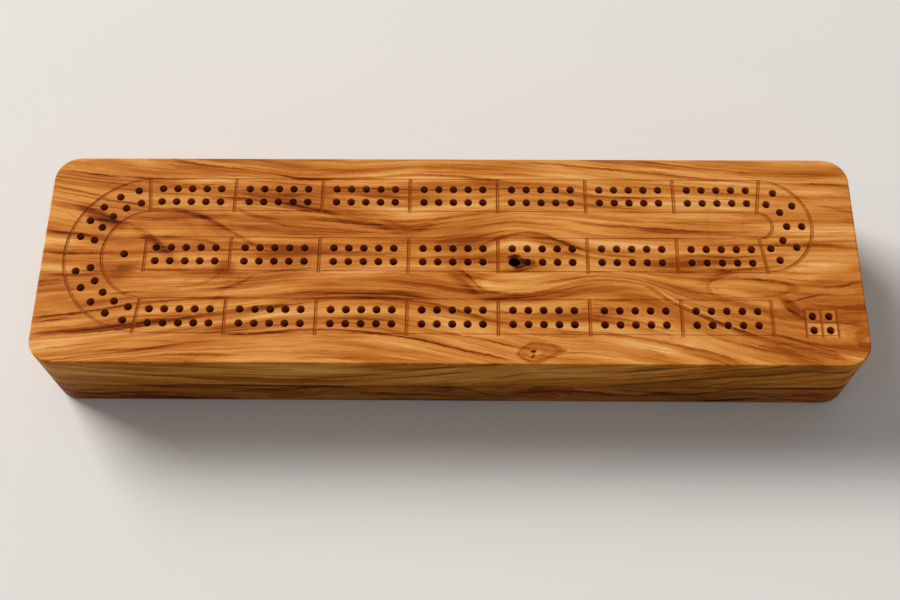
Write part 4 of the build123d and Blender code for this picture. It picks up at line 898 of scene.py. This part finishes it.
def make_drawer_front_wood():
    """The drawer front's olive wood, grain running from side to side."""
    material, tree, shader = new_material("olive_drawer_front")
    (x, y, z), _ = board_space(tree)
    bend_place = point(tree, calc(tree, "DIVIDE", y, 30.0), calc(tree, "DIVIDE", z, 12.0), 4.0)
    bend = times(tree, wobble(tree, bend_place, 1.0, 1.5), 9.0)
    level = calc(tree, "ADD", add_times(tree, x, 0.6, z), bend)
    fibre = use_group(tree, olive_fibre, along=y, across=level, deep=x, seed=120.0)
    tone = limit(tree, calc(tree, "ADD", fibre["Tone"], DRAWER_FRONT_TONE))
    color = use_group(tree, olive_colour, tone=tone)["Color"]
    finish_olive(tree, shader, color, fibre["Height"])
    return material


dress(make_drawer_front_wood(), "drawer_front")

# -------------------- drawer box
# Sides, back, bottom, divider and peg block are planed beech, a pale pinkish wood with a
# fine straight grain and short dark flecks. Each is waxed, not oiled.

BEECH_PALE, BEECH_DARK = srgb(226, 186, 142), srgb(196, 146, 100)
BEECH_FIBRE, BEECH_FLECK = srgb(178, 124, 80), srgb(140, 88, 52)
WAXED_SPECULAR = 0.3


def make_beech(name, along_axis, seed):
    """Waxed beech with its grain along the piece: axis 0 is the box's length, 1 its width."""
    material, tree, shader = new_material(name)
    spots, _ = board_space(tree)
    along = calc(tree, "ADD", spots[along_axis], seed)
    across = add_times(tree, spots[1 - along_axis], 0.7, spots[2])

    def figure(length, width, *settings):
        spot = point(tree, calc(tree, "DIVIDE", along, length),
                     calc(tree, "DIVIDE", across, width), seed)
        return noise(tree, spot, 1.0, *settings)

    bands = figure(90.0, 4.0, 3.0, 0.55, 0.2)
    fibres = figure(14.0, 0.3, 2.0, 0.6)
    fleck = remap(tree, figure(1.7, 0.28, 0.0), 0.66, 0.74)
    color = mix_color(tree, bands, BEECH_PALE, BEECH_DARK)
    color = mix_color(tree, times(tree, fibres, 0.35), color, BEECH_FIBRE)
    color = mix_color(tree, times(tree, fleck, 0.55), color, BEECH_FLECK)
    tree.links.new(color, shader.inputs["Base Color"])
    shader.inputs["Specular IOR Level"].default_value = WAXED_SPECULAR
    tree.links.new(add_times(tree, fibres, 0.15, 0.48), shader.inputs["Roughness"])
    add_relief(tree, shader, fibres, 0.2)
    return material


for material_name, grain_axis, grain_seed, node_name in (
    ("beech_rear_side", 0, 11.0, "drawer_side_rear"),
    ("beech_near_side", 0, 57.0, "drawer_side_near"),
    ("beech_bottom", 0, 140.0, "drawer_bottom"),
    ("beech_back", 1, 23.0, "drawer_back"),
    ("beech_divider", 1, 71.0, "card_divider"),
    ("beech_peg_block", 1, 95.0, "peg_block"),
):
    dress(make_beech(material_name, grain_axis, grain_seed), node_name)

# -------------------- corner dowels
# Eight beech dowels pin the drawer's corners. Their cut ends show end grain, which takes
# the wax darker than the sides round them.

END_GRAIN_PALE, END_GRAIN_DARK = srgb(176, 124, 78), srgb(132, 84, 48)


def make_dowel_wood():
    """Beech end grain: fine pores on a darker ground."""
    material, tree, shader = new_material("dowel_end_grain")
    place, _ = board_space(tree)
    pores = noise(tree, point(tree, *place), 3.2, 2.0, 0.6)
    color = mix_color(tree, remap(tree, pores, 0.35, 0.7), END_GRAIN_PALE, END_GRAIN_DARK)
    tree.links.new(color, shader.inputs["Base Color"])
    tree.links.new(add_times(tree, pores, 0.2, 0.5), shader.inputs["Roughness"])
    return material


dress(make_dowel_wood(), "drawer_dowels")

# -------------------- knob, screws and pegs
# Knob, screws and two of the pegs are turned brass, the other two pegs are turned steel.
# Fine tool rings run round each one, and handling has dulled them in soft patches.

BRIGHT_BRASS, DULL_BRASS, BRASS_ROUGHNESS = srgb(222, 178, 98), srgb(168, 122, 58), 0.16
BRIGHT_STEEL, DULL_STEEL, STEEL_ROUGHNESS = srgb(198, 199, 202), srgb(142, 143, 148), 0.2


def make_turned_metal(name, color, dull_color, base_roughness):
    """Turned metal: tool rings across the X axis and a soft film of handling."""
    material, tree, shader = new_material(name)
    (x, y, z), _ = board_space(tree)
    rings = noise(tree, point(tree, times(tree, x, 9.0), 0.0, 0.0))
    film = noise(tree, point(tree, x, y, z), 0.35, 3.0, 0.6)
    shade = mix_color(tree, remap(tree, film, 0.45, 0.75, 0.0, 0.7), color, dull_color)
    tree.links.new(shade, shader.inputs["Base Color"])
    shader.inputs["Metallic"].default_value = 1.0
    roughness = add_times(tree, film, 0.22, base_roughness)
    tree.links.new(add_times(tree, rings, 0.08, roughness), shader.inputs["Roughness"])
    add_relief(tree, shader, rings, 0.12, 0.00005)
    return material


turned_brass = make_turned_metal("turned_brass", BRIGHT_BRASS, DULL_BRASS, BRASS_ROUGHNESS)
turned_steel = make_turned_metal("turned_steel", BRIGHT_STEEL, DULL_STEEL, STEEL_ROUGHNESS)
dress(turned_brass, "drawer_knob", "knob_screw", "stop_screw", "peg_brass_1", "peg_brass_2")
dress(turned_steel, "peg_steel_1", "peg_steel_2")

# -------------------- catch magnets
# Two nickel-plated discs, pressed flush into the drawer's back and the tunnel's end. Both
# are rubbed a little dull.

BRIGHT_NICKEL, RUBBED_NICKEL = srgb(214, 213, 208), srgb(176, 174, 168)


def make_nickel():
    """Nickel plate with faint rubbing marks."""
    material, tree, shader = new_material("nickel_plate")
    place, _ = board_space(tree)
    darkening = noise(tree, point(tree, *place), 1.3, 3.0, 0.6)
    tree.links.new(mix_color(tree, darkening, BRIGHT_NICKEL, RUBBED_NICKEL),
                   shader.inputs["Base Color"])
    shader.inputs["Metallic"].default_value = 1.0
    tree.links.new(add_times(tree, darkening, 0.25, 0.12), shader.inputs["Roughness"])
    return material


dress(make_nickel(), "case_magnet", "drawer_magnet")

# -------------------- floor
# A plain pale table top, wide enough for every view. It is matt, so that it carries the
# box's soft shadow and no highlight.

FLOOR_HALF_SIZE = 6.0
FLOOR_CORNERS = ((-1, -1), (1, -1), (1, 1), (-1, 1))

floor_mesh = bpy.data.meshes.new("floor")
floor = bpy.data.objects.new("floor", floor_mesh)
bpy.context.scene.collection.objects.link(floor)
floor_mesh.from_pydata(
    [(x * FLOOR_HALF_SIZE, y * FLOOR_HALF_SIZE, 0) for x, y in FLOOR_CORNERS],
    [], [(0, 1, 2, 3)],
)
floor_material, floor_tree, floor_shader = new_material("pale_table")
floor_shader.inputs["Base Color"].default_value = srgb(226, 224, 220)
floor_shader.inputs["Roughness"].default_value = 0.9
floor_shader.inputs["Specular IOR Level"].default_value = 0.1
floor_mesh.materials.append(floor_material)

# -------------------- light
# A large soft lamp above and behind the box leaves the front face in shade, as the room's
# own light does; a dim even surround fills the shadows.

ROOM_COLOR, ROOM_STRENGTH = (1.0, 0.99, 0.97, 1.0), 0.30
LAMP_COLOR, LAMP_POWER = (1.0, 0.985, 0.96), 488.0
LAMP_PLACE, LAMP_AIM = Vector((-3.90, 3.30, 3.90)), Vector((0.0, 0.0, 0.02))
LAMP_WIDTH, LAMP_HEIGHT = 3.4, 2.8

world = bpy.data.worlds.new("soft_room")
world.use_nodes = True
world.node_tree.nodes["Background"].inputs[0].default_value = ROOM_COLOR
world.node_tree.nodes["Background"].inputs[1].default_value = ROOM_STRENGTH
bpy.context.scene.world = world

lamp_data = bpy.data.lights.new("key_lamp", "AREA")
lamp_data.shape = "RECTANGLE"
lamp_data.size, lamp_data.size_y = LAMP_WIDTH, LAMP_HEIGHT
lamp_data.energy = LAMP_POWER
lamp_data.color = LAMP_COLOR
lamp = bpy.data.objects.new("key_lamp", lamp_data)
bpy.context.scene.collection.objects.link(lamp)
lamp.location = LAMP_PLACE
lamp.rotation_euler = (LAMP_AIM - LAMP_PLACE).to_track_quat("-Z", "Y").to_euler()

# -------------------- camera
# Held above the front of the box, looking down on the track.

CAMERA_LENS, CAMERA_SENSOR = 49.496, 36.0
CAMERA_X, CAMERA_Y, CAMERA_ABOVE_TOP = 0.00847, -0.25872, 0.51515
CAMERA_TURN = (24.708, 0.601, 0.562)

camera_data = bpy.data.cameras.new("camera")
camera_data.sensor_width = CAMERA_SENSOR
camera_data.lens = CAMERA_LENS
camera = bpy.data.objects.new("camera", camera_data)
bpy.context.scene.collection.objects.link(camera)
camera.location = (CAMERA_X, CAMERA_Y, CAMERA_ABOVE_TOP + CASE_TOP_Z / 1000)
camera.rotation_euler = [radians(angle) for angle in CAMERA_TURN]
bpy.context.scene.camera = camera
bpy.context.scene.view_settings.view_transform = "Standard"
